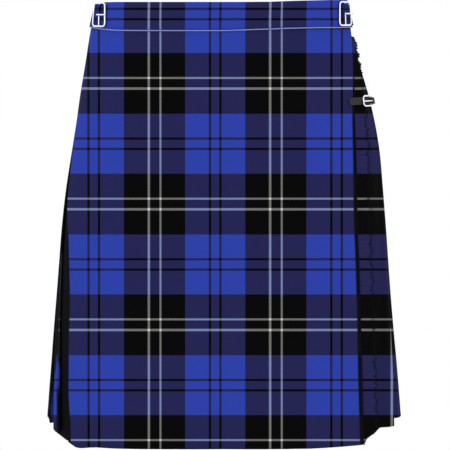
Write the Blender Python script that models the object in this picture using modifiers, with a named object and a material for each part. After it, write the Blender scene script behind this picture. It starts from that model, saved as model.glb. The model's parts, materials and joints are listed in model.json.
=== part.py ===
"""A lady's tartan kilt in the shape that it has when it is worn, with nobody inside it.

The kilt is one length of cloth wound round the waist: the under-apron, the pleats of the back, and the
over-apron that laps over the front. Every piece is laid out on a ring round the body. A place on the kilt is
given by three values: how far round the ring it lies, its height, and how far it stands out from the ring.
`placed` turns those three into a point. Distances round the ring start at the centre front and grow towards
+X, so they are negative on the other side. The front faces -Y, and z = 0 is the middle of the waist straps.
"""

import math

import bmesh
import bpy
import numpy as np

NAME = "scottish_kilt"

# Cloth, seams and layers
CLOTH = 0.0012
CLEAR = 0.0003
HALF_CLOTH = CLOTH / 2

# Heights
BAND_TOP = 0.0160
BAND_BOTTOM = -0.0170
BAND_SHOULDER = 0.0136
BAND_INNER_BOTTOM = -0.0130
CLOTH_TOP = 0.0122
HEM = -0.5190
# How far the hem lies above that height, at each number of degrees round the body from the front
HEM_COLUMNS = ("turn", "rise")
APRON_HEM = (
    (-82, -0.0008),
    (-77, -0.0012),
    (-74, -0.0016),
    (-71.5, -0.0029),
    (-68.5, -0.0050),
    (-64, 0.0014),
    (-60, 0.0014),
    (-58.6, -0.0011),
    (-57.2, -0.0035),
    (-55.8, -0.0039),
    (-54.4, -0.0032),
    (-53, -0.0021),
    (-50.4, -0.0009),
    (-45, -0.0012),
    (-36, -0.0012),
    (-23, -0.0004),
    (0, 0.0001),
    (24, -0.0003),
    (38, -0.0008),
    (46, 0.0001),
    (51, 0.0004),
    (57, 0.0001),
)
BACK_HEM = (
    (-180, 0.0085),
    (-93, 0.0085),
    (-87.5, 0.0095),
    (-85, 0.0114),
    (-80.2, 0.0132),
    (-79, 0.0080),
    (-77, 0.0066),
    (-74, 0.0038),
    (-71.4, 0.0026),
    (-45, 0.0020),
    (55, 0.0020),
    (61.3, 0.0020),
    (62.7, 0.0032),
    (65.4, 0.0066),
    (66.7, 0.0082),
    (67.5, 0.0112),
    (69, 0.0117),
    (73, 0.0104),
    (75.2, 0.0088),
    (77, 0.0170),
    (79.7, 0.0158),
    (82.4, 0.0141),
    (85, 0.0122),
    (87.6, 0.0105),
    (93, 0.0090),
    (180, 0.0085),
)
ROWS = (CLOTH_TOP, BAND_BOTTOM, -0.055, -0.115, -0.180, -0.250, -0.330, -0.420, HEM)

# The ring's size at each height. It lies on the inside of the cloth. `middle` is its middle's place on X.
SECTION_COLUMNS = (
    "height", "half_width", "middle", "front", "side", "back", "front_power", "back_power", "layer_step",
)
SECTIONS = (
    (0.018, 0.1482, -0.0008, -0.0972, 0.000, 0.1002, 3.0, 2.3, 0.00240),
    (-0.017, 0.1560, -0.0012, -0.1002, 0.000, 0.1057, 3.0, 2.3, 0.00240),
    (-0.060, 0.1656, 0.0004, -0.1065, 0.001, 0.1190, 3.1, 2.3, 0.00200),
    (-0.100, 0.1750, 0.0025, -0.1104, 0.003, 0.1300, 3.2, 2.3, 0.00190),
    (-0.160, 0.1860, 0.0040, -0.1140, 0.006, 0.1430, 3.3, 2.3, 0.00190),
    (-0.220, 0.1940, 0.0024, -0.1170, 0.010, 0.1530, 3.3, 2.3, 0.00195),
    (-0.360, 0.2065, 0.0014, -0.1240, 0.020, 0.1620, 3.1, 2.3, 0.00240),
    (-0.440, 0.2139, 0.0018, -0.1282, 0.028, 0.1672, 2.95, 2.3, 0.00280),
    (-0.520, 0.2206, 0.0020, -0.1324, 0.035, 0.1724, 2.8, 2.3, 0.00320),
)

# Where the edges and the outermost folds lie round the ring, at each height.
# The two lifts are how far the over-apron's side edges stand off the cloth below them, and `splay` is how
# much the fringe leans out from the body.
EDGE_COLUMNS = (
    "height", "last_fold", "apron_fold", "apron_edge", "first_fold", "fold_lift", "edge_lift", "splay",
)
EDGES = (
    (0.018, -0.243, -0.214, 0.180, 0.244, 0.0, 0.0, 0.10),
    (-0.017, -0.243, -0.213, 0.177, 0.243, 0.0, 0.0, 0.10),
    (-0.060, -0.243, -0.212, 0.167, 0.242, 0.0, 0.0, 0.0),
    (-0.100, -0.243, -0.211, 0.159, 0.241, 0.0, 0.0, 0.0),
    (-0.220, -0.241, -0.206, 0.1575, 0.238, 0.0020, 0.0015, 0.0),
    (-0.360, -0.231, -0.190, 0.1630, 0.235, 0.0070, 0.0045, 0.0),
    (-0.520, -0.221, -0.185, 0.1660, 0.2335, 0.0140, 0.0090, 0.0),
)
LIFT_STARTS = 0.080

# Pleats
FOLDS = 26
CENTRE_BACK_FOLD = 13
PLEAT_OVERLAP = 0.50
FOLD_EASE = 0.0015

# Aprons
APRON_RETURN = 0.035
APRON_COLUMNS = 40
RECESS_COLUMNS = 9
RETURN_COLUMNS = 5
UNDER_APRON_SKIPS = 8
SIDE_COLUMNS = 5
SIDE_EASE = 0.012

# Waistband
BAND_JOIN = -0.2410
BAND_OVERHANG = 0.0025
SIDE_BAND_JOIN = 0.2155
BAND_OUT = 0.0072
BAND_IN = -0.0010
UNDER_BAND_OUT = 0.0023
APRON_BAND_IN = 0.0039

# Fringe
STRANDS = 124
FRINGE_TOP = -0.0235
FRINGE_BOTTOM = -0.5160
FRINGE_STRIP = (-0.0080, -0.0010)
FRINGE_REACH = 0.0248
# The lowest strands are worn short: the share of their length they keep, by height above the fringe's bottom
FRINGE_WORN = ((0.0022, 0.15), (0.0059, 0.32), (0.0086, 0.47), (0.0111, 0.69), (0.0141, 1.0))
FRINGE_WALL = 0.0010
STRAND_SHARE = 0.62

# Straps and buckles
STRAP_WIDTH = 0.0250
STRAP_WALL = 0.0013
STRAP_LENGTH = 0.150
STRAP_LIFT = 0.0006
STRAP_TIP = 0.0005
WAIST_BUCKLE_AT = {"left": -0.1520, "right": 0.1535}
BUCKLE_MIDDLE = 0.0008
WAIST_FRAME = (0.0255, 0.0300)
WAIST_FRAME_CORNERS = (0.0045, 0.0018)
WAIST_BAR = 0.0018
WAIST_RIM = 0.0022
FRAME_WALL = 0.0020
LOOP_WALL = 0.0008
LOOP_FLANGES = (0.0040, 0.0030)
LOOP_MIDDLE = 0.0074
LOOP_WIDTH = 0.0100
TONGUE_RADIUS = 0.0008
TONGUE_OVERHANG = 0.0004
HIP_HEIGHT = -0.1030
HIP_STRAP_WIDTH = 0.0087
HIP_STRAP_WALL = 0.0014
HIP_STRAP_SEWN = 0.0070
HIP_FRAME = (0.0178, 0.0137)
HIP_FRAME_CORNERS = (0.0035, 0.0016)
HIP_RIM = 0.0021
HIP_BUCKLE_FROM_EDGE = 0.0229
HIP_TAB_WIDTH = 0.0076
HIP_TAB_ROOT = 0.0490
HIP_TAB_SEWN = 0.0085

TARTAN = dict(colour=(0.03, 0.05, 0.38, 1.0), roughness=0.85, metallic=0.0)
BLACK_WOOL = dict(colour=(0.012, 0.012, 0.016, 1.0), roughness=0.9, metallic=0.0)
LEATHER = dict(colour=(0.02, 0.02, 0.022, 1.0), roughness=0.45, metallic=0.0)
NICKEL = dict(colour=(0.80, 0.80, 0.82, 1.0), roughness=0.18, metallic=1.0)


# The ring round the body


def smooth_row(table, height):
    """The table's row at a height, on a smooth curve through the rows above and below it."""
    rows = np.array(sorted(table))
    heights = rows[:, 0]
    height = float(np.clip(height, heights[0], heights[-1]))
    at = int(np.clip(np.searchsorted(heights, height) - 1, 0, len(rows) - 2))
    slopes = np.gradient(rows, heights, axis=0)
    span = heights[at + 1] - heights[at]
    t = (height - heights[at]) / span
    return (
        (2 * t**3 - 3 * t**2 + 1) * rows[at]
        + (t**3 - 2 * t**2 + t) * span * slopes[at]
        + (3 * t**2 - 2 * t**3) * rows[at + 1]
        + (t**3 - t**2) * span * slopes[at + 1]
    )


def row_between(table, height):
    """The table's row at a height. The cloth runs straight from each of its own rows to the next."""
    levels = (BAND_TOP, *ROWS[1:])
    below = next((k for k, level in enumerate(levels) if level <= height), len(levels) - 1)
    upper, lower = levels[max(below - 1, 0)], levels[max(below, 1)]
    share = (height - lower) / (upper - lower)
    return share * smooth_row(table, upper) + (1 - share) * smooth_row(table, lower)


class Ring:
    """The closed line round the body at one height, measured along it from the centre front."""

    SAMPLES = 1440

    def __init__(self, height):
        row = dict(zip(SECTION_COLUMNS, row_between(SECTIONS, height)))
        turn = np.linspace(-math.pi / 2, 3 * math.pi / 2, self.SAMPLES + 1)
        across, along = np.cos(turn), np.sin(turn)
        power = np.where(along < 0, row["front_power"], row["back_power"])
        depth = np.where(along < 0, row["side"] - row["front"], row["back"] - row["side"])
        x = row["middle"] + row["half_width"] * np.sign(across) * np.abs(across) ** (2 / power)
        y = row["side"] + depth * np.sign(along) * np.abs(along) ** (2 / power)
        self.points = np.column_stack((x, y))
        steps = np.hypot(np.diff(x), np.diff(y))
        self.along = np.concatenate(([0.0], np.cumsum(steps)))
        self.length = float(self.along[-1])
        self.layer_step = float(row["layer_step"])

    def at(self, distance):
        distance = distance % self.length
        return np.array([np.interp(distance, self.along, self.points[:, k]) for k in (0, 1)])

    def outward(self, distance):
        reach = 0.004
        run = self.at(distance + reach) - self.at(distance - reach)
        return np.array((run[1], -run[0])) / np.hypot(*run)


RINGS = {}


def ring(height):
    key = round(height, 6)
    if key not in RINGS:
        RINGS[key] = Ring(height)
    return RINGS[key]


def placed(distance, height, out):
    """The point at a distance round the ring, a height, and a distance out from the ring."""
    here = ring(height)
    x, y = here.at(distance) + out * here.outward(distance)
    return (float(x), float(y), height)


def out_of_ring(point):
    """How far a point near the over-apron's free edge stands out from the body, for sorting."""
    here = ring(point[2])
    at = edge("apron_edge", point[2])
    return float(np.dot(np.array(point[:2]) - here.at(at), here.outward(at)))


def edge(name, height):
    return float(row_between(EDGES, height)[EDGE_COLUMNS.index(name)])


def layer(number, height):
    """How far out the middle of a layer of cloth lies: 0 is next to the body, 2 is outermost."""
    return HALF_CLOTH + number * ring(height).layer_step


def lift(distance, height):
    """How far the over-apron stands off its own layer. Its middle hangs flat, and its edges stand away."""
    side, most = ("apron_edge", "edge_lift") if distance > 0 else ("apron_fold", "fold_lift")
    share = (abs(distance) - LIFT_STARTS) / (abs(edge(side, height)) - LIFT_STARTS)
    share = min(max(share, 0.0), 1.0)
    return edge(most, height) * share * share * (3 - 2 * share)


def surface(height):
    """How far out the outermost layer's face lies."""
    return layer(2, height) + HALF_CLOTH


# Blender objects


def clear_scene():
    for old in list(bpy.data.objects):
        bpy.data.objects.remove(old, do_unlink=True)


def material(name, colour, roughness, metallic):
    made = bpy.data.materials.new(name)
    made.use_nodes = True
    shader = made.node_tree.nodes["Principled BSDF"]
    shader.inputs["Base Color"].default_value = colour
    shader.inputs["Roughness"].default_value = roughness
    shader.inputs["Metallic"].default_value = metallic
    made.diffuse_color = colour
    return made


def add_piece(name, mesh, finish):
    piece = bpy.data.objects.new(name, mesh)
    mesh.materials.clear()
    mesh.materials.append(material(name + "_finish", **finish))
    bpy.data.collections[NAME].objects.link(piece)
    return piece


def thicken(piece, wall):
    solid = piece.modifiers.new("wall", "SOLIDIFY")
    solid.thickness = wall
    solid.offset = 0.0
    solid.use_even_offset = True
    return piece


def hem_height(spot, hem):
    """The height at which the cloth is cut off, for a point of its lowest row."""
    turn = math.degrees(math.atan2(spot[0], -spot[1]))
    return HEM + float(np.interp(turn, *np.transpose(hem)))


def hanging(line_at, hem):
    """The rows of points of a cloth that hangs from the waist to a hem, from its line at each height."""
    lines = [line_at(height) for height in ROWS]
    lines[-1] = [line_at(hem_height(spot, hem))[k] for k, spot in enumerate(lines[-1])]
    return lines


def split_face(shape, corners):
    """Fills four corners with two triangles, cut the same way in every piece so that walls stay parallel."""
    start = 0 if corners[0].co.z > corners[1].co.z else 1
    a, b, c, d = corners[start:] + corners[:start]
    shape.faces.new((a, b, c))
    shape.faces.new((a, c, d))


def sheet(name, lines, wall, finish):
    """A wall of cloth through rows of points, from the top row to the bottom one."""
    shape = bmesh.new()
    grid = [[shape.verts.new(spot) for spot in line] for line in lines]
    for upper, lower in zip(grid, grid[1:]):
        for k in range(len(upper) - 1):
            split_face(shape, (upper[k], lower[k], lower[k + 1], upper[k + 1]))
    mesh = bpy.data.meshes.new(name)
    shape.to_mesh(mesh)
    shape.free()
    mesh.shade_smooth()
    mesh.set_sharp_from_angle(angle=math.radians(40))
    return thicken(add_piece(name, mesh, finish), wall)


# Aprons and pleats


def on_layer(columns, number, height):
    return [placed(s, height, layer(number, height)) for s in columns]


def folds(height):
    """Where every pleat's fold edge lies, from the first, on the right, to the last, on the left."""
    first = edge("first_fold", height)
    last = ring(height).length + edge("last_fold", height)
    return np.linspace(first, last, FOLDS)


def overlap(height):
    where = folds(height)
    return PLEAT_OVERLAP * (where[1] - where[0])


def pleat_face(number, height):
    """The half of a pleat that shows, from where it comes out below its neighbour to its return's end."""
    fold = folds(height)[number]
    tuck = fold - overlap(height)
    outer = on_layer((tuck - FOLD_EASE, fold), 2, height)
    return outer + on_layer((fold, tuck), 1, height)


def pleat_root(number, height):
    """The layer next to the body that leads from below one pleat to the next."""
    fold = folds(height)[number]
    return on_layer((fold - overlap(height), fold + FOLD_EASE), 0, height)


def pleats(name, first, last):
    def line_at(height):
        line = []
        for number in range(first, last):
            line += pleat_root(number, height) + pleat_face(number + 1, height)
        return line

    return sheet(name, hanging(line_at, BACK_HEM), CLOTH, TARTAN)


def front_columns(height):
    """The over-apron's columns. The layers below and above it share them, so that all stay parallel."""
    return np.linspace(edge("apron_fold", height), edge("apron_edge", height), APRON_COLUMNS)


def under_columns(height):
    stop = edge("first_fold", height) - overlap(height) - SIDE_EASE
    side = np.linspace(edge("apron_edge", height), stop, SIDE_COLUMNS)
    return np.concatenate((front_columns(height)[UNDER_APRON_SKIPS:], side[1:]))


def recess_columns(height):
    start = edge("last_fold", height) - overlap(height)
    return np.linspace(start, edge("apron_fold", height) + APRON_RETURN, RECESS_COLUMNS)


def back_columns(height):
    """The ends of every pleat's outermost layer."""
    columns = []
    for fold in folds(height):
        columns += [fold - overlap(height) - FOLD_EASE, fold]
    return columns


def under_apron():
    def line_at(height):
        return on_layer(under_columns(height), 0, height) + pleat_face(0, height)

    return sheet("under_apron", hanging(line_at, BACK_HEM), CLOTH, TARTAN)


def over_apron():
    def line_at(height):
        fold = edge("apron_fold", height)
        line = on_layer(recess_columns(height), 0, height)
        for s in np.linspace(fold + APRON_RETURN, fold, RETURN_COLUMNS):
            line.append(placed(s, height, layer(1, height) + lift(s, height) / 2))
        for s in front_columns(height):
            line.append(placed(s, height, layer(2, height) + lift(s, height)))
        return line

    return sheet("over_apron", hanging(line_at, APRON_HEM), CLOTH, TARTAN)


# Waistband


def band(name, outer, inner):
    """A strip folded over the top edge. Each leaf is a function from a height to (distance, out) places."""
    profile = (
        (BAND_BOTTOM, 1.0),
        (BAND_SHOULDER, 1.0),
        (BAND_TOP - HALF_CLOTH, 0.5),
        (BAND_SHOULDER, 0.0),
        (BAND_INNER_BOTTOM, 0.0),
    )
    lines = []
    for height, share in profile:
        leaf = share * np.array(outer(height)) + (1 - share) * np.array(inner(height))
        lines.append([placed(s, height, out) for s, out in leaf])
    return sheet(name, lines, CLOTH, TARTAN)


def at_out(columns, out):
    return [(s, out) for s in columns]


def under_band_columns(height):
    columns = under_columns(height)
    columns[0] -= BAND_OVERHANG
    columns[-1] = SIDE_BAND_JOIN - CLEAR
    return list(columns)


def back_band_columns(height):
    last = ring(height).length + BAND_JOIN - CLEAR
    return [SIDE_BAND_JOIN] + back_columns(height) + [last]


def apron_band_columns(height):
    return [BAND_JOIN, (BAND_JOIN + edge("apron_fold", height)) / 2] + list(front_columns(height))


def back_band_outer(height):
    columns = back_band_columns(height)
    return [(columns[0], UNDER_BAND_OUT)] + at_out(columns[1:], BAND_OUT)


def apron_band_inner(height):
    recess = [BAND_JOIN] + list(recess_columns(height)[2:])
    rest = apron_band_columns(height)[len(recess) :]
    return at_out(recess, BAND_IN) + at_out(rest, APRON_BAND_IN)


def waistbands():
    band(
        "waistband_under",
        lambda height: at_out(under_band_columns(height), UNDER_BAND_OUT),
        lambda height: at_out(under_band_columns(height), BAND_IN),
    )
    band("waistband_back", back_band_outer, lambda height: at_out(back_band_columns(height), BAND_IN))
    band("waistband_apron", lambda height: at_out(apron_band_columns(height), BAND_OUT), apron_band_inner)


# Fringe


def strand_reach(number):
    """The strands bunch into uneven tufts, so their reach rises and falls along the edge."""
    tuft = math.sin(number * 1.37) + 0.6 * math.sin(number * 0.61 + 1.0) + 0.4 * math.sin(number * 2.9 + 0.5)
    return FRINGE_REACH * (1.0 + 0.05 * tuft)


def fringe_layer(height):
    return layer(1, height) - CLEAR + edge("edge_lift", height)


def fringe():
    """A narrow strip below the over-apron's free edge, with a strand pulled out of it at each step."""
    pitch = (FRINGE_TOP - FRINGE_BOTTOM) / STRANDS
    levels = []
    for number in range(STRANDS):
        top = FRINGE_TOP - number * pitch
        levels += [top, top - STRAND_SHARE * pitch]
    levels.append(FRINGE_BOTTOM)
    shape = bmesh.new()
    grid = []
    for height in levels:
        at = edge("apron_edge", height)
        middle = fringe_layer(height)
        corners = []
        for s, side in ((0, -1), (1, -1), (1, 1), (0, 1)):
            spot = (at + FRINGE_STRIP[s], height, middle + side * FRINGE_WALL / 2)
            corners.append(shape.verts.new(placed(*spot)))
        grid.append(corners)
    roots = []
    for number, (upper, lower) in enumerate(zip(grid, grid[1:])):
        for k in range(4):
            after = (k + 1) % 4
            side = shape.faces.new((upper[k], lower[k], lower[after], upper[after]))
            if k == 1 and number % 2 == 0:
                roots.append((number // 2, side))
    shape.faces.new(grid[0])
    shape.faces.new(grid[-1][::-1])
    for number, root in roots:
        pull_strand(shape, root, number, pitch)
    bmesh.ops.recalc_face_normals(shape, faces=shape.faces)
    mesh = bpy.data.meshes.new("fringe")
    shape.to_mesh(mesh)
    shape.free()
    return add_piece("fringe", mesh, BLACK_WOOL)


def straight(along, height, out, leaves):
    """A point on a line that leaves the ring at a distance round it, and runs straight on from there."""
    here = ring(height)
    outward = here.outward(leaves)
    x, y = here.at(leaves) + out * outward + along * np.array((-outward[1], outward[0]))
    return (float(x), float(y), height)


def pull_strand(shape, root, number, pitch):
    """Pulls one strand straight out of the strip. It narrows towards its tip and leans a little."""
    middle = sum(corner.co.z for corner in root.verts) / 4
    lean = 0.16 * pitch * math.sin(number * 0.9)
    reach = strand_reach(number) * float(np.interp(middle - FRINGE_BOTTOM, *np.transpose(FRINGE_WORN)))
    front = sorted(root.verts, key=lambda corner: -out_of_ring(corner.co))[:2]
    half = abs(front[0].co.z - front[1].co.z) / 2
    face = root
    for share, size in ((0.5, 0.95), (1.0, 0.70)):
        face = bmesh.ops.extrude_discrete_faces(shape, faces=[face])["faces"][0]
        by_height = sorted(face.verts, key=lambda corner: corner.co.z)
        for pair, way in ((by_height[:2], -1), (by_height[2:], 1)):
            height = middle + way * half * size + share * lean
            pair.sort(key=lambda corner: out_of_ring(corner.co))
            for corner, side in zip(pair, (-1, 1)):
                out = fringe_layer(height) + side * FRINGE_WALL * size / 2
                out += edge("splay", middle) * share * reach
                corner.co = straight(share * reach, height, out, edge("apron_edge", middle))


# Straps


def band_stops(start, stop, height):
    """The waistband's columns that lie between two places at z = 0, as they are at another height."""

    def all_columns(level):
        back = back_band_columns(level)
        return [s - ring(level).length for s in back] + apron_band_columns(level) + back

    kept = [k for k, s in enumerate(all_columns(0.0)) if start + 0.002 < s < stop - 0.002]
    here = all_columns(height)
    return [start] + [here[k] for k in kept] + [stop]


def strip(name, profile, middle, width, wall, finish):
    """A strap through (distance, out) places, a function of the height, with its middle at one height."""
    lines = []
    for height in (middle + width / 2, middle - width / 2):
        lines.append([placed(s, height, out) for s, out in profile(height)])
    return sheet(name, lines, wall, finish)


def wrap(piece, at, height, out):
    """Bends a flat piece onto the ring: its X runs round the ring, its Y up, and its Z outwards."""
    for vertex in piece.data.vertices:
        x, y, z = vertex.co
        vertex.co = placed(at + x, height + y, out + z)
    return piece


def rounded(width, height, radius, centre=(0.0, 0.0), steps=4):
    """The outline of a rounded rectangle, anticlockwise."""
    outline = []
    corners = ((1, 1, 0), (-1, 1, 90), (-1, -1, 180), (1, -1, 270))
    for right, up, start in corners:
        x = centre[0] + right * (width / 2 - radius)
        y = centre[1] + up * (height / 2 - radius)
        for k in range(steps + 1):
            turn = math.radians(start + 90 * k / steps)
            outline.append((x + radius * math.cos(turn), y + radius * math.sin(turn)))
    return outline


def plate(name, outlines, wall, finish):
    """A flat plate with rounded rims. The first outline is its edge, and the others are windows in it."""
    bevel = wall * 0.28
    curve = bpy.data.curves.new(name, "CURVE")
    curve.dimensions = "2D"
    curve.fill_mode = "BOTH"
    curve.extrude = wall / 2 - bevel
    curve.bevel_depth = bevel
    curve.bevel_resolution = 0
    curve.offset = -bevel
    for outline in outlines:
        spline = curve.splines.new("POLY")
        spline.points.add(len(outline) - 1)
        for point, (x, y) in zip(spline.points, outline):
            point.co = (x, y, 0.0, 1.0)
        spline.use_cyclic_u = True
    return from_curve(name, curve, finish)


def rod(name, points, radius, finish):
    curve = bpy.data.curves.new(name, "CURVE")
    curve.dimensions = "3D"
    curve.bevel_depth = radius
    curve.bevel_resolution = 2
    curve.use_fill_caps = True
    spline = curve.splines.new("POLY")
    spline.points.add(len(points) - 1)
    for point, spot in zip(spline.points, points):
        point.co = (*spot, 1.0)
    return from_curve(name, curve, finish)


def from_curve(name, curve, finish):
    """Turns a curve into a mesh whose caps are joined to its sides."""
    guide = bpy.data.objects.new(name + "_curve", curve)
    bpy.data.collections[NAME].objects.link(guide)
    seen = guide.evaluated_get(bpy.context.evaluated_depsgraph_get())
    mesh = bpy.data.meshes.new_from_object(seen)
    bpy.data.objects.remove(guide, do_unlink=True)
    shape = bmesh.new()
    shape.from_mesh(mesh)
    bmesh.ops.remove_doubles(shape, verts=shape.verts, dist=1e-6)
    bmesh.ops.recalc_face_normals(shape, faces=shape.faces)
    shape.to_mesh(mesh)
    shape.free()
    mesh.name = name
    piece = add_piece(name, mesh, finish)
    mesh.shade_smooth()
    mesh.set_sharp_from_angle(angle=math.radians(50))
    return piece


# Waist straps and buckles


def waist_fastening(side):
    """One waist strap with the buckle that it carries. The strap runs back round the side from the buckle."""
    at = WAIST_BUCKLE_AT[side]
    width, height = WAIST_FRAME
    lie = BAND_OUT + HALF_CLOTH + STRAP_LIFT + STRAP_WALL / 2
    if side == "right":
        ends = (at - width / 2 + STRAP_TIP, at + STRAP_LENGTH)
    else:
        ends = (at - STRAP_LENGTH, at + width / 2 - STRAP_TIP)

    def run(level):
        return at_out(band_stops(*ends, level), lie)

    strip(f"waist_strap_{side}", run, 0.0, STRAP_WIDTH, STRAP_WALL, TARTAN)

    seat = lie + STRAP_WALL / 2 + CLEAR
    window = ((width - WAIST_BAR) / 2 - WAIST_RIM, height - 2 * WAIST_RIM)
    shift = (window[0] + WAIST_BAR) / 2
    outer_corner, window_corner = WAIST_FRAME_CORNERS
    outlines = [rounded(width, height, outer_corner)]
    outlines += [rounded(*window, window_corner, centre=(x, 0.0), steps=3) for x in (-shift, shift)]
    frame = plate(f"waist_buckle_{side}", outlines, FRAME_WALL, NICKEL)
    wrap(frame, at, BUCKLE_MIDDLE, seat + FRAME_WALL / 2)

    top = seat + FRAME_WALL + CLEAR + TONGUE_RADIUS
    spots = [(-0.0022, 0.0, top), (0.0040, 0.0, top + CLEAR), (width / 2 + TONGUE_OVERHANG, 0.0, top)]
    tongue = rod(f"waist_tongue_{side}", spots, TONGUE_RADIUS, NICKEL)
    wrap(tongue, at, BUCKLE_MIDDLE, 0.0)
    waist_loop(side, at, seat)


def waist_loop(side, at, seat):
    """The loop of cloth that goes over the upper half of the buckle's middle bar."""
    beside = WAIST_BAR / 2 + CLEAR + LOOP_WALL / 2
    low = seat + LOOP_WALL / 2
    high = seat + FRAME_WALL + CLEAR + LOOP_WALL / 2
    profile = [
        (at - beside - LOOP_FLANGES[0], low),
        (at - beside, low),
        (at - beside, high),
        (at + beside, high),
        (at + beside, low),
        (at + beside + LOOP_FLANGES[1], low),
    ]
    strip(f"waist_loop_{side}", lambda level: profile, LOOP_MIDDLE, LOOP_WIDTH, LOOP_WALL, TARTAN)


# Hip strap and buckle


def strap_line(along, height, out):
    """A point on the stiff hip strap, which leaves the ring in a straight line at the over-apron's edge."""
    return straight(along, height, out, edge("apron_edge", HIP_HEIGHT))


def hip_strip(name, profile, width, wall):
    lines = []
    for height in (HIP_HEIGHT + width / 2, HIP_HEIGHT - width / 2):
        lines.append([place(s, height, out) for place, s, out in profile])
    return sheet(name, lines, wall, LEATHER)


def hip_fastening():
    width, height = HIP_FRAME
    at = HIP_BUCKLE_FROM_EDGE
    lie = surface(HIP_HEIGHT) + CLEAR + HIP_STRAP_WALL / 2
    seat = lie + HIP_STRAP_WALL / 2 + CLEAR
    bar = at + width / 2 - HIP_RIM / 2
    beside = HIP_RIM / 2 + CLEAR + LOOP_WALL / 2

    outer_corner, window_corner = HIP_FRAME_CORNERS
    outlines = [rounded(width, height, outer_corner)]
    outlines.append(rounded(width - 2 * HIP_RIM, height - 2 * HIP_RIM, window_corner, steps=3))
    frame = plate("hip_buckle", outlines, FRAME_WALL, NICKEL)
    lay_on_strap(frame, at, seat + FRAME_WALL / 2)

    under = seat - CLEAR - LOOP_WALL / 2
    over = seat + FRAME_WALL + CLEAR + LOOP_WALL / 2
    root = edge("apron_edge", HIP_HEIGHT) + HIP_TAB_ROOT
    on_cloth = layer(0, HIP_HEIGHT) + HALF_CLOTH + CLEAR + LOOP_WALL / 2
    tab = [
        (placed, root + HIP_TAB_SEWN, on_cloth),
        (placed, root, on_cloth),
        (strap_line, bar - beside, under),
        (strap_line, bar - beside, over),
        (strap_line, bar + beside, over),
    ]
    hip_strip("hip_tab", tab, HIP_TAB_WIDTH, LOOP_WALL)

    end = bar - beside - LOOP_WALL / 2 - CLEAR
    start = edge("apron_edge", HIP_HEIGHT) - HIP_STRAP_SEWN
    strap = [(placed, start, lie), (placed, start + HIP_STRAP_SEWN / 2, lie), (strap_line, 0.0, lie)]
    hip_strip("hip_strap", strap + [(strap_line, end, lie)], HIP_STRAP_WIDTH, HIP_STRAP_WALL)

    rise = seat + FRAME_WALL + CLEAR + TONGUE_RADIUS
    spots = [(-width / 2 - TONGUE_OVERHANG, 0.0, rise), (0.0, 0.0, rise), (end - at, 0.0, rise)]
    lay_on_strap(rod("hip_tongue", spots, TONGUE_RADIUS, NICKEL), at, 0.0)


def lay_on_strap(piece, at, out):
    """Lays a flat piece on the hip strap's straight line: its X runs along the strap and its Y up."""
    for vertex in piece.data.vertices:
        x, y, z = vertex.co
        vertex.co = strap_line(at + x, HIP_HEIGHT + y, out + z)


def main():
    clear_scene()
    bpy.context.scene.collection.children.link(bpy.data.collections.new(NAME))
    under_apron()
    pleats("pleats_right", 0, CENTRE_BACK_FOLD)
    pleats("pleats_left", CENTRE_BACK_FOLD, FOLDS - 1)
    over_apron()
    waistbands()
    fringe()
    for side in ("left", "right"):
        waist_fastening(side)
    hip_fastening()


main()
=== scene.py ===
# %% [markdown]
# # Scottish kilt
# A lady's tartan kilt in its worn shape, with nobody inside it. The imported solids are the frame: they have
# the right sizes and places, and no look. This script lays the cloth, the fringe, the straps and the
# buckles over them, and ends with the light and the camera.

import json
import math

import bmesh
import bpy
import numpy as np
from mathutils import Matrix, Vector

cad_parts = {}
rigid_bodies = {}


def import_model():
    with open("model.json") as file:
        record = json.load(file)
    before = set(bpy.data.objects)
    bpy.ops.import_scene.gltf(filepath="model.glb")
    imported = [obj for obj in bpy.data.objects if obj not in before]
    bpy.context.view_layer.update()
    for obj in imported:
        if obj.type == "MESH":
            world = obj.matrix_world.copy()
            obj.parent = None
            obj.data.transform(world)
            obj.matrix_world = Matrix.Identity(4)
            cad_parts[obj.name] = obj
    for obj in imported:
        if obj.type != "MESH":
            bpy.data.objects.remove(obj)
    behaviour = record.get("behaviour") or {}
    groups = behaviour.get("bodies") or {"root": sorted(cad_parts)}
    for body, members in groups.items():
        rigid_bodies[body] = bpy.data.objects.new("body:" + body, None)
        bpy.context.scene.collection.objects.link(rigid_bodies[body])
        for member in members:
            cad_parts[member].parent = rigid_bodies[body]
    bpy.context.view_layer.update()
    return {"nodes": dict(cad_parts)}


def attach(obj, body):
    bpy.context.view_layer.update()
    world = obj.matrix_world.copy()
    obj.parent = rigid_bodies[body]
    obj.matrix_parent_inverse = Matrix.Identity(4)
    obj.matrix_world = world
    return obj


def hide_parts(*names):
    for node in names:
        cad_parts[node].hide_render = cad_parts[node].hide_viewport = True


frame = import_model()
print("frame:", sorted(frame["nodes"]))

# %% [markdown]
# ## Sizes
# A kilt is made to its wearer's measures, so sizes come first. They are the solids' own, in metres. The
# front faces -Y, +X is the wearer's left, and z = 0 is the middle of the waist straps. Distances round the
# kilt start at the centre front and grow towards +X. What changes with the height, or round the body,
# stands in a short table, because a few rows are easier to adjust than a formula for a whole outline.

# %% Sizes of the cloth
# How thick the cloth is, and the gap between pieces that lie on each other
CLOTH = 0.0012
CLEAR = 0.0003
HALF_CLOTH = CLOTH / 2
# Heights: the waistband, the top of the cloth inside it, and the hem
BAND_TOP = 0.0160
BAND_BOTTOM = -0.0170
CLOTH_TOP = 0.0122
HEM = -0.5190
print("from the waistband's top to the hem:", BAND_TOP - HEM)

# %% [markdown]
# ### The hem
# A worn kilt's hem isn't level. Cloth that stands away from the body is pulled up, and every pleat ends a
# little higher than the one in front of it. One way is to cut the finished mesh with a curved knife. Here
# the lowest row of each cloth's grid is moved to the hem instead, which keeps the grid whole.

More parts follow.
